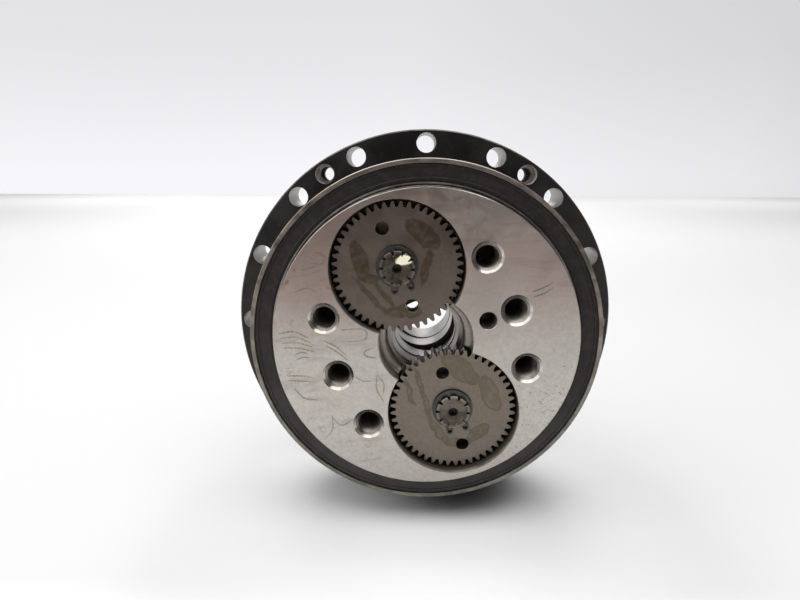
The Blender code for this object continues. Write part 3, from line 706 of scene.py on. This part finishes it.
# Pocket ledge, with painted shade deeper in the pocket.
LEDGE = soft_wall("pocket_ledge", (0.36, 0.32, 0.27), (0.20, 0.175, 0.145), painted_shade_deeper=True)
FLOOR = soft_wall("pocket_floor", (0.36, 0.30, 0.255), (0.20, 0.165, 0.14))
CLIP = turned_steel("clip_steel", (0.085, 0.085, 0.082), (0.055, 0.055, 0.053), 3000.0, base_rough=0.42)


# ------------------------------------------------------------------ pieces

def reach(face, centre=(0.0, 0.0)):
    """Distance of a face centre from an axis parallel to Y, in millimetres."""
    return math.hypot(face.center.x / MM - centre[0], face.center.z / MM - AXIS_Z - centre[1])


def nearest(face, centres):
    """Distance of a face centre from the nearest of several axes."""
    return min(reach(face, centre) for centre in centres)


def make_case():
    """Flanged case with true round holes, grooves and edge breaks."""
    profile = [(78.95, RIM_FRONT), (80.45, RIM_FRONT), (80.8, RIM_FRONT + 0.35), (80.8, FLANGE_FRONT - 1.0)]
    profile += [(80.3, FLANGE_FRONT - 0.6), (80.3, FLANGE_FRONT)]
    profile += [(94.3, FLANGE_FRONT), (94.9, FLANGE_FRONT + 0.6)]
    profile += [(94.9, FLANGE_BACK - 0.8), (94.1, FLANGE_BACK), (80.8, FLANGE_BACK), (80.8, CASE_BACK - 0.6)]
    profile += [(80.2, CASE_BACK), (76.7, CASE_BACK), (76.3, CASE_BACK - 0.4)]
    profile += [(76.3, 20.5), (65.5, 20.5), (65.5, -7.3), (76.3, -7.3)]
    profile += [(76.3, -26.0), (78.8, -26.0), (78.8, RIM_FRONT + 0.15)]
    case = new_object("case_detail", turned(profile, 200))
    groups = []
    for k in range(40):
        centre = polar(64.0, 9.0 * k)
        groups.append(skin([(-8.3, circle(3.25, 16, centre)), (21.5, circle(3.25, 16, centre))]))
    for k in range(16):
        centre = polar(FLANGE_HOLE_CIRCLE, 90.0 + 22.5 * k)
        profile = [(5.25, FLANGE_FRONT - 0.3), (4.75, FLANGE_FRONT + 0.2), (4.75, FLANGE_BACK - 0.3)]
        groups.append(turned(profile + [(5.35, FLANGE_BACK + 0.3)], 40, centre, False))
    stepped_holes = [polar(FLANGE_HOLE_CIRCLE, degrees) for degrees in (56.25, 123.75)]
    for centre in stepped_holes:
        profile = [(5.1, FLANGE_FRONT - 0.2), (4.75, FLANGE_FRONT + 0.15), (4.75, FLANGE_FRONT + 8.0)]
        profile += [(3.9, FLANGE_FRONT + 8.6)]
        y = FLANGE_FRONT + 8.6
        while y < FLANGE_BACK - 1.3:
            profile += [(3.35, y + 0.15), (3.9, y + 0.62)]
            y += 1.25
        profile += [(3.4, y + 0.2), (3.4, FLANGE_BACK + 0.5)]
        groups.append(turned(profile, 32, centre, False))
    carve(case, merge(groups))

    def choose(face):
        radius, y = reach(face), face.center.y / MM
        if y < RIM_FRONT + 0.4 and 78.0 < radius:
            return RIM
        if abs(radius - 94.6) < 0.25 and y < FLANGE_FRONT + 0.7:
            return worn
        if FLANGE_FRONT + 0.1 < y < FLANGE_BACK - 0.1 and 83.0 < radius < 94.0:
            wide = nearest(face, stepped_holes) < 5.5 and y < FLANGE_FRONT + 8.1
            return counterbore if wide else hole
        if radius < 78.9 and y > -31.0 and abs(face.normal.y) < 0.9:
            return hole
        return BLACK

    worn = turned_steel("worn_edge", (0.16, 0.15, 0.14), (0.06, 0.055, 0.05), 2500.0, base_rough=0.4)
    counterbore = soft_wall("counterbore", (0.86, 0.82, 0.80), (0.62, 0.59, 0.57))
    hole = turned_steel("hole_wall", (0.50, 0.49, 0.47), (0.34, 0.33, 0.315), 1800.0, base_rough=0.42)
    dress(case, "case", "case", [BLACK, RIM, worn, hole, counterbore], choose)


def make_seal():
    """Lipped shaft seal with a raised bead on each side of its face."""
    profile = [(78.74, -30.75), (78.5, -30.95), (77.2, -30.95), (76.9, -30.65)]
    profile += [(75.8, -30.55), (72.9, -30.55), (72.4, -30.85), (71.6, -30.85)]
    profile += [(70.7, -30.4), (70.2, -30.5), (69.7, -29.9), (69.6, -28.1), (69.7, -27.4)]
    profile += [(71.6, -28.3), (74.5, -29.4), (76.0, -29.0), (76.0, -26.5), (78.74, -26.5)]
    seal = new_object("seal_detail", turned(profile, 180))

    def choose(face):
        return lip if reach(face) < 70.6 and face.center.y < -29.5 * MM else RUBBER

    lip = turned_steel("worn_lip", (0.40, 0.375, 0.36), (0.26, 0.24, 0.23), 2600.0, base_rough=0.40)
    dress(seal, "case", "oil_seal", [RUBBER, lip], choose)


def make_shaft_flange():
    """Ground carrier face with pocket, threaded holes and pillars."""
    profile = [(21.75, FACE_FRONT), (68.6, FACE_FRONT), (68.85, FACE_FRONT + 0.25), (69.2, FACE_FRONT + 1.4)]
    profile += [(69.3, FACE_FRONT + 4.2), (68.9, FACE_FRONT + 4.5), (68.9, FACE_FRONT + 5.1)]
    profile += [(69.3, FACE_FRONT + 5.4), (69.3, -22.4), (60.0, -22.4), (60.0, SHAFT_FLANGE_BACK)]
    profile += [(15.4, SHAFT_FLANGE_BACK), (15.0, SHAFT_FLANGE_BACK - 0.4), (15.1, -11.0), (16.3, -11.2)]
    profile += [(16.3, -12.9), (15.3, -13.1), (15.9, STEP_FLOOR + 1.4)]
    profile += [(16.5, STEP_FLOOR + 1.3), (16.6, STEP_FLOOR), (17.9, STEP_FLOOR), (18.5, STEP_FLOOR - 0.6)]
    profile += [(18.5, -28.6), (18.9, -29.0), (20.7, -29.0), (21.3, -29.6), (21.3, FACE_FRONT + 0.45)]
    flange = new_object("shaft_flange_detail", turned(profile, 200))
    groups = []
    for flip in (False, True):
        loop = sector(29.5, 54.0, 29.0, 0.0, flip)
        groups.append(skin([(SHAFT_FLANGE_BACK - 2.0, loop), (19.4, loop)]))
    carve(flange, merge(groups), "UNION")
    groups = []
    for index in (0, 1):
        profile = [(30.5, FACE_FRONT - 0.2), (30.2, FACE_FRONT + 0.1), (30.2, POCKET_FLOOR - 0.4)]
        profile += [(29.8, POCKET_FLOOR), (14.0, POCKET_FLOOR), (14.0, -21.3), (17.3, -21.3)]
        profile += [(17.3, SHAFT_FLANGE_BACK + 1.0)]
        groups.append(turned(profile, 160, crank_centre(index), False))
    tap = [(7.35, FACE_FRONT - 0.2), (6.1, FACE_FRONT + 1.05)]
    y = FACE_FRONT + 1.05
    while y < FACE_FRONT + 21.0:
        tap += [(5.15, y + 0.75), (5.95, y + 1.4)]
        y += 1.5
    tap += [(5.1, y + 0.8), (5.1, y + 2.2), (0.0, y + 5.0)]
    for flip in (False, True):
        for local in TAP_POINTS:
            groups.append(turned(tap, 48, carrier_point(local, flip), False))
        for local in BOLT_POINTS:
            groups.append(turned([(4.3, 20.4), (4.3, -1.0)], 24, carrier_point(local, flip), False))
        groups.append(turned([(3.3, 20.4), (3.3, 7.5)], 24, carrier_point((33.8, 0.0), flip), False))
    dowel = [(4.25, FACE_FRONT - 0.1), (4.0, FACE_FRONT + 0.15), (4.0, FACE_FRONT + 16.0)]
    groups.append(turned(dowel, 48, carrier_point((29.5, 0.0)), False))
    carve(flange, merge(groups))
    add_oil_marks(flange)
    taps = [carrier_point(local, flip) for flip in (False, True) for local in TAP_POINTS]
    dowel_at = carrier_point((29.5, 0.0))
    pockets = (crank_centre(0), crank_centre(1))

    def choose(face):
        radius, y = reach(face), face.center.y / MM
        if y < FACE_FRONT - 0.01:
            return OIL
        if abs(face.normal.y) > 0.9995 and y < FACE_FRONT + 0.1:
            return FACE
        if radius > 67.9:
            return EDGE if y < FACE_FRONT + 0.24 else STEEL
        if nearest(face, taps) < 7.6 and y < -12.0:
            if y < FACE_FRONT + 1.1:
                return CHAMFER
            return THREAD if y < FACE_FRONT + 7.0 else DEEP
        if reach(face, dowel_at) < 4.4:
            return EDGE if y < FACE_FRONT + 0.2 else DEEP
        if nearest(face, pockets) < 30.6 and y < POCKET_FLOOR + 0.1:
            flat = abs(face.normal.y) > 0.6 and y > POCKET_FLOOR - 0.6
            return FLOOR if flat else LEDGE
        if y < FACE_FRONT + 0.5 and radius < 22.0:
            return EDGE
        if radius < 16.6 and -13.1 < y < -11.1:
            return FLOOR
        if radius < 17.0 and y > STEP_FLOOR - 0.1:
            return BORE
        return WALL

    looks = [FACE, EDGE, WALL, STEEL, BORE, CHAMFER, THREAD, DEEP, LEDGE, FLOOR, OIL]
    dress(flange, "carrier", "shaft_flange", looks, choose)


# Dragged oil marks, placed in whole millimetres and degrees:
# strokes in the fan, x and z of the first one, heading, length, turn.
OIL_FANS = (
    (4, -66, 4, 12, 14, -40),
    (2, -59, -6, 30, 6, -40),
    (1, -38, 6, 5, 26, -180),
    (2, -46, 1, -25, 13, -20),
    (1, -23, -2, 200, 12, 150),
    (1, -32, -16, -35, 8, 40),
    (1, -22, -15, -95, 14, 35),
    (1, -22, -15, -50, 10, -45),
    (1, -43, -35, -85, 14, -45),
    (1, -43, -36, -50, 12, 85),
    (2, -63, -16, 2, 12, -10),
    (1, -60, -22, -50, 13, 45),
    (1, -51, 38, 8, 14, -190),
    (2, -55, 33, 12, 9, 10),
    (1, -58, 23, 25, 11, -50),
    (2, 46, 24, 22, 10, 8),
)
FAN_STEP = 2.2
DRAG_STEPS = 24


def dragged(x, z, heading, length, turn):
    """Path of a dragged drop: straight, a bend about its middle, straight again."""
    spot = Vector((x, z))
    path = [spot.copy()]
    for k in range(DRAG_STEPS):
        share = min(max((k / DRAG_STEPS - 0.25) / 0.45, 0.0), 1.0)
        angle = math.radians(heading + turn * share * share * (3.0 - 2.0 * share))
        spot = spot + Vector((math.cos(angle), math.sin(angle))) * (length / DRAG_STEPS)
        path.append(spot.copy())
    return path


def add_oil_marks(target):
    """Thin dried-oil strokes laid a hair in front of the ground face."""
    level = (FACE_FRONT - 0.02) * MM
    paths = []
    for strokes, x, z, heading, length, turn in OIL_FANS:
        for k in range(strokes):
            paths.append(dragged(x + 0.6 * k, z - FAN_STEP * k, heading - 4 * k, length, turn + 9 * k))
    mesh = bmesh.new()
    mesh.from_mesh(target.data)
    for number, path in enumerate(paths):
        count = len(path) - 1
        sides = []
        for k, spot in enumerate(path):
            lean = (path[min(k + 1, count)] - path[max(k - 1, 0)]).normalized()
            swell = 0.6 + 0.4 * math.sin(1.9 * k + number)
            half = 0.14 + 0.38 * max(math.sin(math.pi * k / count), 0.0) ** 0.6 * swell
            across = Vector((-lean.y, lean.x)) * half
            pair = (spot + across, spot - across)
            sides.append([mesh.verts.new((q.x * MM, level, (q.y + AXIS_Z) * MM)) for q in pair])
        for first, second in zip(sides, sides[1:]):
            face = mesh.faces.new((first[0], first[1], second[1], second[0]))
            face.normal_update()
            if face.normal.y > 0.0:
                face.normal_flip()
    mesh.to_mesh(target.data)
    mesh.free()


def sector(inner, outer, half, grow, flip):
    """Pillar outline, or its window when grown."""
    turn = CARRIER_ANGLE + (180.0 if flip else 0.0)
    low = inner - grow
    high = outer + grow
    low_half = half + math.degrees(math.asin(grow / low))
    high_half = half + math.degrees(math.asin(grow / high))
    points = [polar(high, turn + high_half * (k / 8.0 - 1.0)) for k in range(17)]
    points.extend(polar(low, turn + low_half * (1.0 - k / 5.0)) for k in range(11))
    return points


def make_hold_flange():
    """Rear carrier half with bearing bores, bolt seats and pin holes."""
    profile = [(14.9, HOLD_FRONT), (59.6, HOLD_FRONT), (60.0, HOLD_FRONT + 0.4), (60.0, 35.7), (65.7, 35.7)]
    profile += [(66.0, 36.0), (66.0, HOLD_BACK - 0.6), (65.4, HOLD_BACK), (15.1, HOLD_BACK)]
    profile += [(14.6, HOLD_BACK - 0.5), (14.6, HOLD_FRONT + 0.3)]
    flange = new_object("hold_flange_detail", turned(profile, 180))
    groups = []
    for index in (0, 1):
        profile = [(17.3, HOLD_FRONT - 1.0), (17.3, 32.8), (14.0, 32.8), (14.0, HOLD_BACK - 0.3)]
        groups.append(turned(profile + [(14.6, HOLD_BACK + 0.3)], 96, crank_centre(index), False))
    for flip in (False, True):
        for local in BOLT_POINTS:
            profile = [(4.4, HOLD_FRONT - 1.0), (4.4, 29.0), (7.0, 29.0), (7.0, HOLD_BACK - 0.3)]
            profile += [(7.5, HOLD_BACK + 0.2)]
            groups.append(turned(profile, 48, carrier_point(local, flip), False))
        pin = [(3.3, HOLD_FRONT - 1.0), (3.3, HOLD_BACK + 1.0)]
        groups.append(turned(pin, 32, carrier_point((33.8, 0.0), flip), False))
    carve(flange, merge(groups))

    def choose(face):
        return BORE if reach(face) < 15.0 else STEEL

    dress(flange, "carrier", "hold_flange", [STEEL, BORE], choose)


def cycloid_outline(rear):
    """Lobed outline about the disc centre."""
    phase = CRANK_PHASE + (180.0 if rear else 0.0)
    turn = math.radians(-phase / LOBES)
    points = []
    count = LOBES * POINTS_PER_LOBE
    for k in range(count):
        t = 2.0 * math.pi * k / count
        place = Vector((64.0 * math.cos(t), 64.0 * math.sin(t)))
        swing = Vector((math.cos(40.0 * t), math.sin(40.0 * t))) * ECCENTRICITY
        inward = (swing * 40.0 - place).normalized()
        spot = place - swing + inward * DISC_REACH
        points.append(tuple(Matrix.Rotation(turn, 2) @ spot))
    return points


def make_disc(rear, y_front, y_back, name):
    """Cycloid disc with smooth lobes and bores."""
    offset = eccentric(rear)
    loops = [cycloid_outline(rear), circle(15.7, 120)]
    loops += [circle(15.3, 96, crank_centre(index)) for index in (0, 1)]
    loops += [sector(29.5, 54.0, 29.0, 2.5, flip) for flip in (False, True)]
    loops = [[add(point, offset) for point in loop] for loop in loops]
    disc = new_object(name + "_detail", plate(loops, y_front, y_back, 0.25))

    def choose(face):
        flat = abs(face.normal.y) > 0.99
        return BORE if reach(face, offset) < 16.5 and not flat else dark

    dark = turned_steel(name + "_side", (0.30, 0.29, 0.28), (0.18, 0.17, 0.16), 2600.0, offset, 0.40)
    dress(disc, name, name, [BORE, dark], choose)


def tooth_outline(centre):
    """Involute-like spur gear outline, sixteen points per tooth."""
    pitch = 360.0 / GEAR_TEETH
    flank = ((26.8, 0.395), (26.95, 0.350), (27.5, 0.310), (28.1, 0.270))
    flank += ((28.7, 0.215), (29.15, 0.160), (29.3, 0.125))
    points = []
    for k in range(GEAR_TEETH):
        middle = 4.5 + pitch * k
        points.extend(polar(radius, middle - half * pitch, centre) for radius, half in flank)
        points.append(polar(29.32, middle, centre))
        points.extend(polar(radius, middle + half * pitch, centre) for radius, half in reversed(flank))
    return points


def spline_loop(centre, lift, flat=6, root=6.75):
    """Splined outline with rounded gaps."""
    pitch = 360.0 / SPLINE_COUNT
    points = []
    for k in range(SPLINE_COUNT):
        middle = SPLINE_PHASE + pitch * k
        for m in range(flat + 1):
            points.append(polar(7.9 + lift, middle + pitch * (-0.33 + 0.66 * m / flat), centre))
        points.append(polar(0.5 * (7.9 + root) + lift, middle + 0.40 * pitch, centre))
        points.append(polar(root + lift, middle + 0.45 * pitch, centre))
        points.append(polar(root + lift, middle + 0.55 * pitch, centre))
        points.append(polar(0.5 * (7.9 + root) + lift, middle + 0.60 * pitch, centre))
    return points


def make_gear(index, letter, hole_angle):
    """Planet spur gear with chamfered teeth and jacking holes."""
    centre = crank_centre(index)
    loops = [tooth_outline(centre), spline_loop(centre, 0.3)]
    for turn in (0.0, 180.0):
        loops.append(circle(2.9, 48, polar(18.5, hole_angle + turn, centre)))
    gear = new_object("spur_gear_%s_detail" % letter, plate(loops, -33.4, -25.4, 0.18))

    def choose(face):
        flank = reach(face, centre) > 26.0 and abs(face.normal.y) < 0.3
        return TOOTH if flank else GEAR_LOOKS[index]

    looks = [GEAR_LOOKS[index], TOOTH]
    dress(gear, "crank_" + letter, "spur_gear_" + letter, looks, choose)


def make_crank(index, letter):
    """Crankshaft with splined end, retaining groove, eccentrics and journals."""
    centre = crank_centre(index)
    spline = spline_loop(centre, 0.0, 6, 5.9)
    lead = spline_loop(centre, -0.2, 6, 5.9)
    count = len(spline)
    front = add(centre, eccentric(False))
    rear = add(centre, eccentric(True))
    journal = circle(10.0, count, centre)
    groove = circle(6.5, count, centre)
    loops = [(-33.4, [centre]), (-34.2, circle(1.8, count, centre)), (-36.6, circle(1.9, count, centre))]
    loops += [(-37.0, circle(2.3, count, centre)), (-37.0, lead), (-36.8, spline), (-35.2, spline)]
    loops += [(-35.2, groove), (-33.4, groove), (-33.4, spline), (-25.1, spline), (-25.1, journal)]
    loops += [(-7.5, journal)]
    for y_front, y_back, middle in ((-7.5, 4.9, front), (6.0, 18.4, rear)):
        cam = circle(11.5, count, middle)
        edge = circle(11.2, count, middle)
        loops += [(y_front, edge), (y_front + 0.3, cam), (y_back - 0.3, cam)]
        loops += [(y_back, edge), (y_back, journal)]
    loops += [(33.0, journal), (33.5, circle(9.5, count, centre)), (33.5, circle(2.3, count, centre))]
    loops += [(31.0, circle(1.2, count, centre)), (30.4, [centre])]
    crank = new_object("crankshaft_%s_detail" % letter, skin(loops))

    def choose(face):
        far = reach(face, centre)
        if face.center.y < -36.9 * MM and far > 2.4:
            return SHAFT_LOOKS[index]
        # Painted shade: the front centre hole takes the black look so that it reads dark.
        return BLACK if far < 2.4 and face.center.y < 0.0 else side

    side = turned_steel("shaft_side_" + letter, (0.24, 0.22, 0.20), (0.14, 0.125, 0.11), 3000.0, centre, 0.34)
    looks = [SHAFT_LOOKS[index], side, BLACK]
    dress(crank, "crank_" + letter, "crankshaft_" + letter, looks, choose)


def make_circlip(index, letter):
    """External retaining ring, thick opposite its opening, with drilled lugs."""
    centre = crank_centre(index)
    outline = []
    for k in range(65):
        swing = 31.0 + k * 298.0 / 64.0
        outline.append(polar(9.3 - 0.6 * math.cos(math.radians(swing)), CIRCLIP_OPENING + swing, centre))
    lug = [(10.2, -30.0), (11.3, -28.0), (12.0, -24.5), (12.2, -21.0)]
    lug += [(11.9, -17.0), (11.1, -13.8), (9.6, -12.6)]
    outline += [polar(radius, CIRCLIP_OPENING + swing, centre) for radius, swing in lug]
    outline.append(polar(7.1, CIRCLIP_OPENING - 13.5, centre))
    for k in range(60):
        outline.append(polar(7.0, CIRCLIP_OPENING - 16.0 - k * 328.0 / 59.0, centre))
    outline.append(polar(7.1, CIRCLIP_OPENING + 13.5, centre))
    outline += [polar(radius, CIRCLIP_OPENING - swing, centre) for radius, swing in reversed(lug)]
    loops = [outline]
    for swing in (-21.0, 21.0):
        loops.append(circle(0.95, 24, polar(10.3, CIRCLIP_OPENING + swing, centre)))
    clip = new_object("circlip_%s_detail" % letter, plate(loops, -34.9, -33.7, 0.12))
    dress(clip, "crank_" + letter, "circlip_" + letter, [CLIP])


def make_bolt(number, centre):
    """Socket-head clamp bolt with chamfered head and hexagon socket."""
    count = 48
    hexagon = []
    for k in range(count):
        swing = math.radians(360.0 * k / count)
        reach = 3.0 / max(math.cos(swing - math.radians(60.0 * m)) for m in range(6))
        hexagon.append((centre[0] + reach * math.cos(swing), centre[1] + reach * math.sin(swing)))
    turned_steps = ((1.0, 3.3), (1.8, 4.0), (29.3, 4.0), (29.3, 6.3), (29.5, 6.5), (36.6, 6.5))
    turned_steps += ((37.2, 5.9), (37.2, 3.65))
    loops = [(y, circle(radius, count, centre)) for y, radius in turned_steps]
    loops += [(36.9, hexagon), (33.2, hexagon), (32.2, [centre])]
    bolt = new_object("clamp_bolt_%d_detail" % number, skin(loops))
    dress(bolt, "carrier", "clamp_bolt_%d" % number, [CLIP])


def make_rear_bearing():
    """Rings, balls and cage of the bearing that shows around the hold flange."""
    outer = ((76.0, -7.1), (70.8, -7.1), (70.4, -6.7), (70.4, -3.6), (72.35, -1.4), (72.35, 6.6), (76.0, 6.6))
    inner = ((60.3, -6.0), (64.05, -6.0), (64.05, 1.4), (66.0, 3.4), (66.0, 7.2), (65.8, 7.4), (60.3, 7.4))
    for part, body, shape in (("outer", "case", outer), ("inner", "carrier", inner)):
        node = "rear_bearing_%s_ring" % part
        profile = [(radius, BALL_REAR_Y + shift) for radius, shift in shape]
        ring = new_object(node + "_detail", turned(profile, 180))
        dress(ring, body, node, [GROUND])
    cage = [(67.3, -3.4), (69.1, -3.4), (69.1, 3.4), (67.3, 3.4)]
    groups = [turned([(radius, BALL_REAR_Y + shift) for radius, shift in cage], 180)]
    cage_faces = len(groups[0][1])
    meridian = []
    for k in range(13):
        swing = math.radians(15.0 * k)
        meridian.append((BALL_RADIUS * math.sin(swing), BALL_REAR_Y - BALL_RADIUS * math.cos(swing)))
    meridian[0] = (0.0, BALL_REAR_Y - BALL_RADIUS)
    meridian[-1] = (0.0, BALL_REAR_Y + BALL_RADIUS)
    for k in range(BALL_COUNT):
        groups.append(turned(meridian, 24, polar(BALL_CIRCLE, 360.0 * k / BALL_COUNT), False))
    balls = new_object("rear_bearing_balls_detail", merge(groups))

    def choose(face):
        return CAGE if face.index < cage_faces else GROUND

    dress(balls, "rear_balls", "rear_bearing_balls", [CAGE, GROUND], choose)


def make_rear_crank_bearing(index, letter):
    """Cup, rollers and cage that show at the rear end of a crank."""
    centre = crank_centre(index)
    y_front, y_back = CUP_REAR_Y
    profile = [(17.0, y_front), (17.0, y_back), (16.1, y_back), (15.8, y_back - 0.3), (15.8, y_front)]
    cup = new_object("crank_%s_rear_cup_detail" % letter, turned(profile, 96, centre))
    dress(cup, "carrier", "crank_%s_rear_cup" % letter, [GROUND])
    cage = [(12.3, y_front + 0.7), (13.5, y_front + 0.7), (13.5, y_back - 0.7), (12.3, y_back - 0.7)]
    groups = [turned(cage, 96, centre)]
    cage_faces = len(groups[0][1])
    roller = [(0.0, y_front + 0.5), (2.3, y_front + 0.5), (ROLLER_RADIUS, y_front + 0.8)]
    roller += [(ROLLER_RADIUS, y_back - 0.8), (2.3, y_back - 0.5), (0.0, y_back - 0.5)]
    for k in range(ROLLER_COUNT):
        place = polar(ROLLER_CIRCLE, 360.0 * k / ROLLER_COUNT, centre)
        groups.append(turned(roller, 32, place, False))
    name = "crank_%s_rear_rollers" % letter
    rollers = new_object(name + "_detail", merge(groups))

    def choose(face):
        return CAGE if face.index < cage_faces else GROUND

    dress(rollers, name, name, [CAGE, GROUND], choose)


def dress_inner_nodes():
    """Materials for the CAD nodes that stay."""
    for name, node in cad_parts.items():
        look = GROUND
        if name.endswith(("balls", "rollers", "needles")):
            look = CAGE
        for slot in node.material_slots:
            slot.material = look


# ------------------------------------------------------- stage, light, view

def make_floor():
    """Pale table whose colour carries painted light and shade: a painted pool of light in front of the case,
    a painted contact shadow under it, painted shade across the far floor, and dark paper towards the camera,
    painted shade that stands for the dim room in front of it.
    """
    mesh = bpy.data.meshes.new("table_top")
    corners = [(x * FLOOR_REACH, y * FLOOR_REACH, 0) for x, y in ((-1, -1), (1, -1), (1, 1), (-1, 1))]
    mesh.from_pydata(corners, [], [(0, 1, 2, 3)])
    floor = bpy.data.objects.new("table_top", mesh)
    floor.location.z = case_low[2] - 0.0001
    bpy.context.scene.collection.objects.link(floor)
    look = Look("table_paper_painted_shading", 0.75, 0.0)
    look.shader.inputs["Specular IOR Level"].default_value = 0.2
    # Painted light: the paper is lighter just in front of the case, into the case's own shadow, and darker
    # away from it.
    middle = look.band(look.radius_about(0.008, -0.042), 0.134, 0.01)
    pale = look.mix(middle, (0.55, 0.55, 0.55), (0.97, 0.97, 0.97))
    # Painted contact shadow on the paper under the case.
    painted_contact_shadow = look.band(look.radius_about(0.020, 0.008), 0.042, 0.010)
    pale = look.mix(look.times(painted_contact_shadow, 0.95), pale, (0.12, 0.115, 0.11))
    # Painted shade across the floor: darker from half a metre behind the case, far back darker in the middle
    # than at the sides.
    pale = look.mix(look.band(look.y, 0.5, 1.3), pale, (0.59, 0.59, 0.59))
    wide = look.band(look.maths("ABSOLUTE", look.x), 0.9, 2.4)
    end = look.mix(wide, (0.66, 0.66, 0.66), (0.99, 0.99, 0.99))
    pale = look.mix(look.band(look.y, 1.7, 3.3), pale, end)
    # Painted shade: slightly darker from 7 to 14 cm in front of the case onwards.
    pale = look.mix(look.band(look.y, -0.07, -0.14), pale, (0.93, 0.93, 0.93))
    # Painted shade: dark paper towards the camera, standing for the dim room in front.
    painted_room_shade = look.band(look.y, -0.75, -0.28)
    look.colour(look.mix(painted_room_shade, (0.20, 0.19, 0.183), pale))
    mesh.materials.append(look.material)


def make_world():
    """Bright surround, brightest on the left, with a dim warm room in front."""
    world = bpy.data.worlds.new("studio")
    bpy.context.scene.world = world
    world.use_nodes = True
    tree = world.node_tree
    back = tree.nodes["Background"]
    coords = tree.nodes.new("ShaderNodeTexCoord")
    front = ((0.22, 0.0), (0.78, 1.0))
    across = ((-1.0, 1.10), (-0.62, 0.79), (0.0, 0.80), (0.5, 0.69), (1.0, 0.42))
    above = ((0.0, 1.17), (0.17, 1.0), (0.28, 0.95), (0.50, 0.50))
    ramps = []
    axes = (Vector((0.28, -0.96, 0.0)), Vector((1.0, 0.0, 0.0)), Vector((0.0, 0.0, 1.0)))
    for axis, stops in zip(axes, (front, across, above)):
        dot = tree.nodes.new("ShaderNodeVectorMath")
        dot.operation = "DOT_PRODUCT"
        dot.inputs[1].default_value = axis.normalized()
        tree.links.new(coords.outputs["Generated"], dot.inputs[0])
        share = tree.nodes.new("ShaderNodeMapRange")
        share.inputs["From Min"].default_value = -1.0
        tree.links.new(dot.outputs["Value"], share.inputs["Value"])
        ramp = tree.nodes.new("ShaderNodeValToRGB")
        tree.links.new(share.outputs["Result"], ramp.inputs[0])
        elements = ramp.color_ramp.elements
        while len(elements) < len(stops):
            elements.new(0.5)
        for element, (position, level) in zip(elements, stops):
            element.position = 0.5 + 0.5 * position
            element.color = (level, level, level * 1.015, 1.0)
        ramps.append(ramp.outputs[0])
    dimmed = tree.nodes.new("ShaderNodeVectorMath")
    dimmed.operation = "MULTIPLY"
    tree.links.new(ramps[1], dimmed.inputs[0])
    tree.links.new(ramps[2], dimmed.inputs[1])
    mix = tree.nodes.new("ShaderNodeMix")
    mix.data_type = "RGBA"
    tree.links.new(ramps[0], mix.inputs["Factor"])
    tree.links.new(dimmed.outputs[0], mix.inputs[6])
    mix.inputs[7].default_value = (0.106, 0.087, 0.079, 1.0)
    tree.links.new(mix.outputs[2], back.inputs["Color"])


def make_light(name, place, target, size, power):
    """Soft square light aimed at a point."""
    data = bpy.data.lights.new(name, "AREA")
    data.shape = "RECTANGLE"
    data.size = size[0]
    data.size_y = size[1]
    data.energy = power
    lamp = bpy.data.objects.new(name, data)
    lamp.location = place
    lamp.rotation_euler = (Vector(target) - Vector(place)).to_track_quat("-Z", "Y").to_euler()
    bpy.context.scene.collection.objects.link(lamp)


def make_camera():
    """Camera matched to the object's own plane, pitch about 13 degrees down."""
    pitch, yaw, roll = CAMERA_TURNS
    shift = Vector(CAMERA_OFFSET) * MM
    turn = Matrix.Rotation(roll, 3, "Z") @ Matrix.Rotation(yaw, 3, "Y") @ Matrix.Rotation(pitch, 3, "X")
    to_world = Matrix(((1.0, 0.0, 0.0), (0.0, 0.0, -1.0), (0.0, 1.0, 0.0)))
    spin = to_world @ turn.transposed()
    place = spin @ (-shift) + Vector((0.0, FLANGE_FRONT * MM, AXIS_Z * MM))
    data = bpy.data.cameras.new("camera")
    data.sensor_width = 36.0
    data.lens = CAMERA_LENS
    data.clip_start = 0.005
    camera = bpy.data.objects.new("camera", data)
    camera.matrix_world = Matrix.Translation(place) @ spin.to_4x4()
    bpy.context.scene.collection.objects.link(camera)
    bpy.context.scene.camera = camera


make_case()
make_seal()
make_shaft_flange()
make_hold_flange()
make_disc(False, -7.3, 4.7, "disc_front")
make_disc(True, 6.2, 18.2, "disc_rear")
for crank_index, crank_letter, jack_angle in ((0, "a", 111.3), (1, "b", 106.0)):
    make_gear(crank_index, crank_letter, jack_angle)
    make_crank(crank_index, crank_letter)
    make_circlip(crank_index, crank_letter)
    make_rear_crank_bearing(crank_index, crank_letter)
make_rear_bearing()
bolt_number = 0
for side in (False, True):
    for bolt_local in BOLT_POINTS:
        bolt_number += 1
        make_bolt(bolt_number, carrier_point(bolt_local, side))
dress_inner_nodes()
make_floor()
make_world()
make_light("overhead", (-0.8, -0.35, 1.0), (0.0, 0.0, 0.05), (1.2, 1.2), 8.0)
make_light("front_top", (0.25, -0.5, 1.2), (0.05, -0.12, 0.0), (1.2, 0.7), 7.5)
make_light("backdrop", (-0.2, 2.4, 2.2), (-0.1, 2.4, 0.0), (4.4, 2.4), 128.0)
make_camera()
bpy.context.scene.view_settings.view_transform = "Standard"
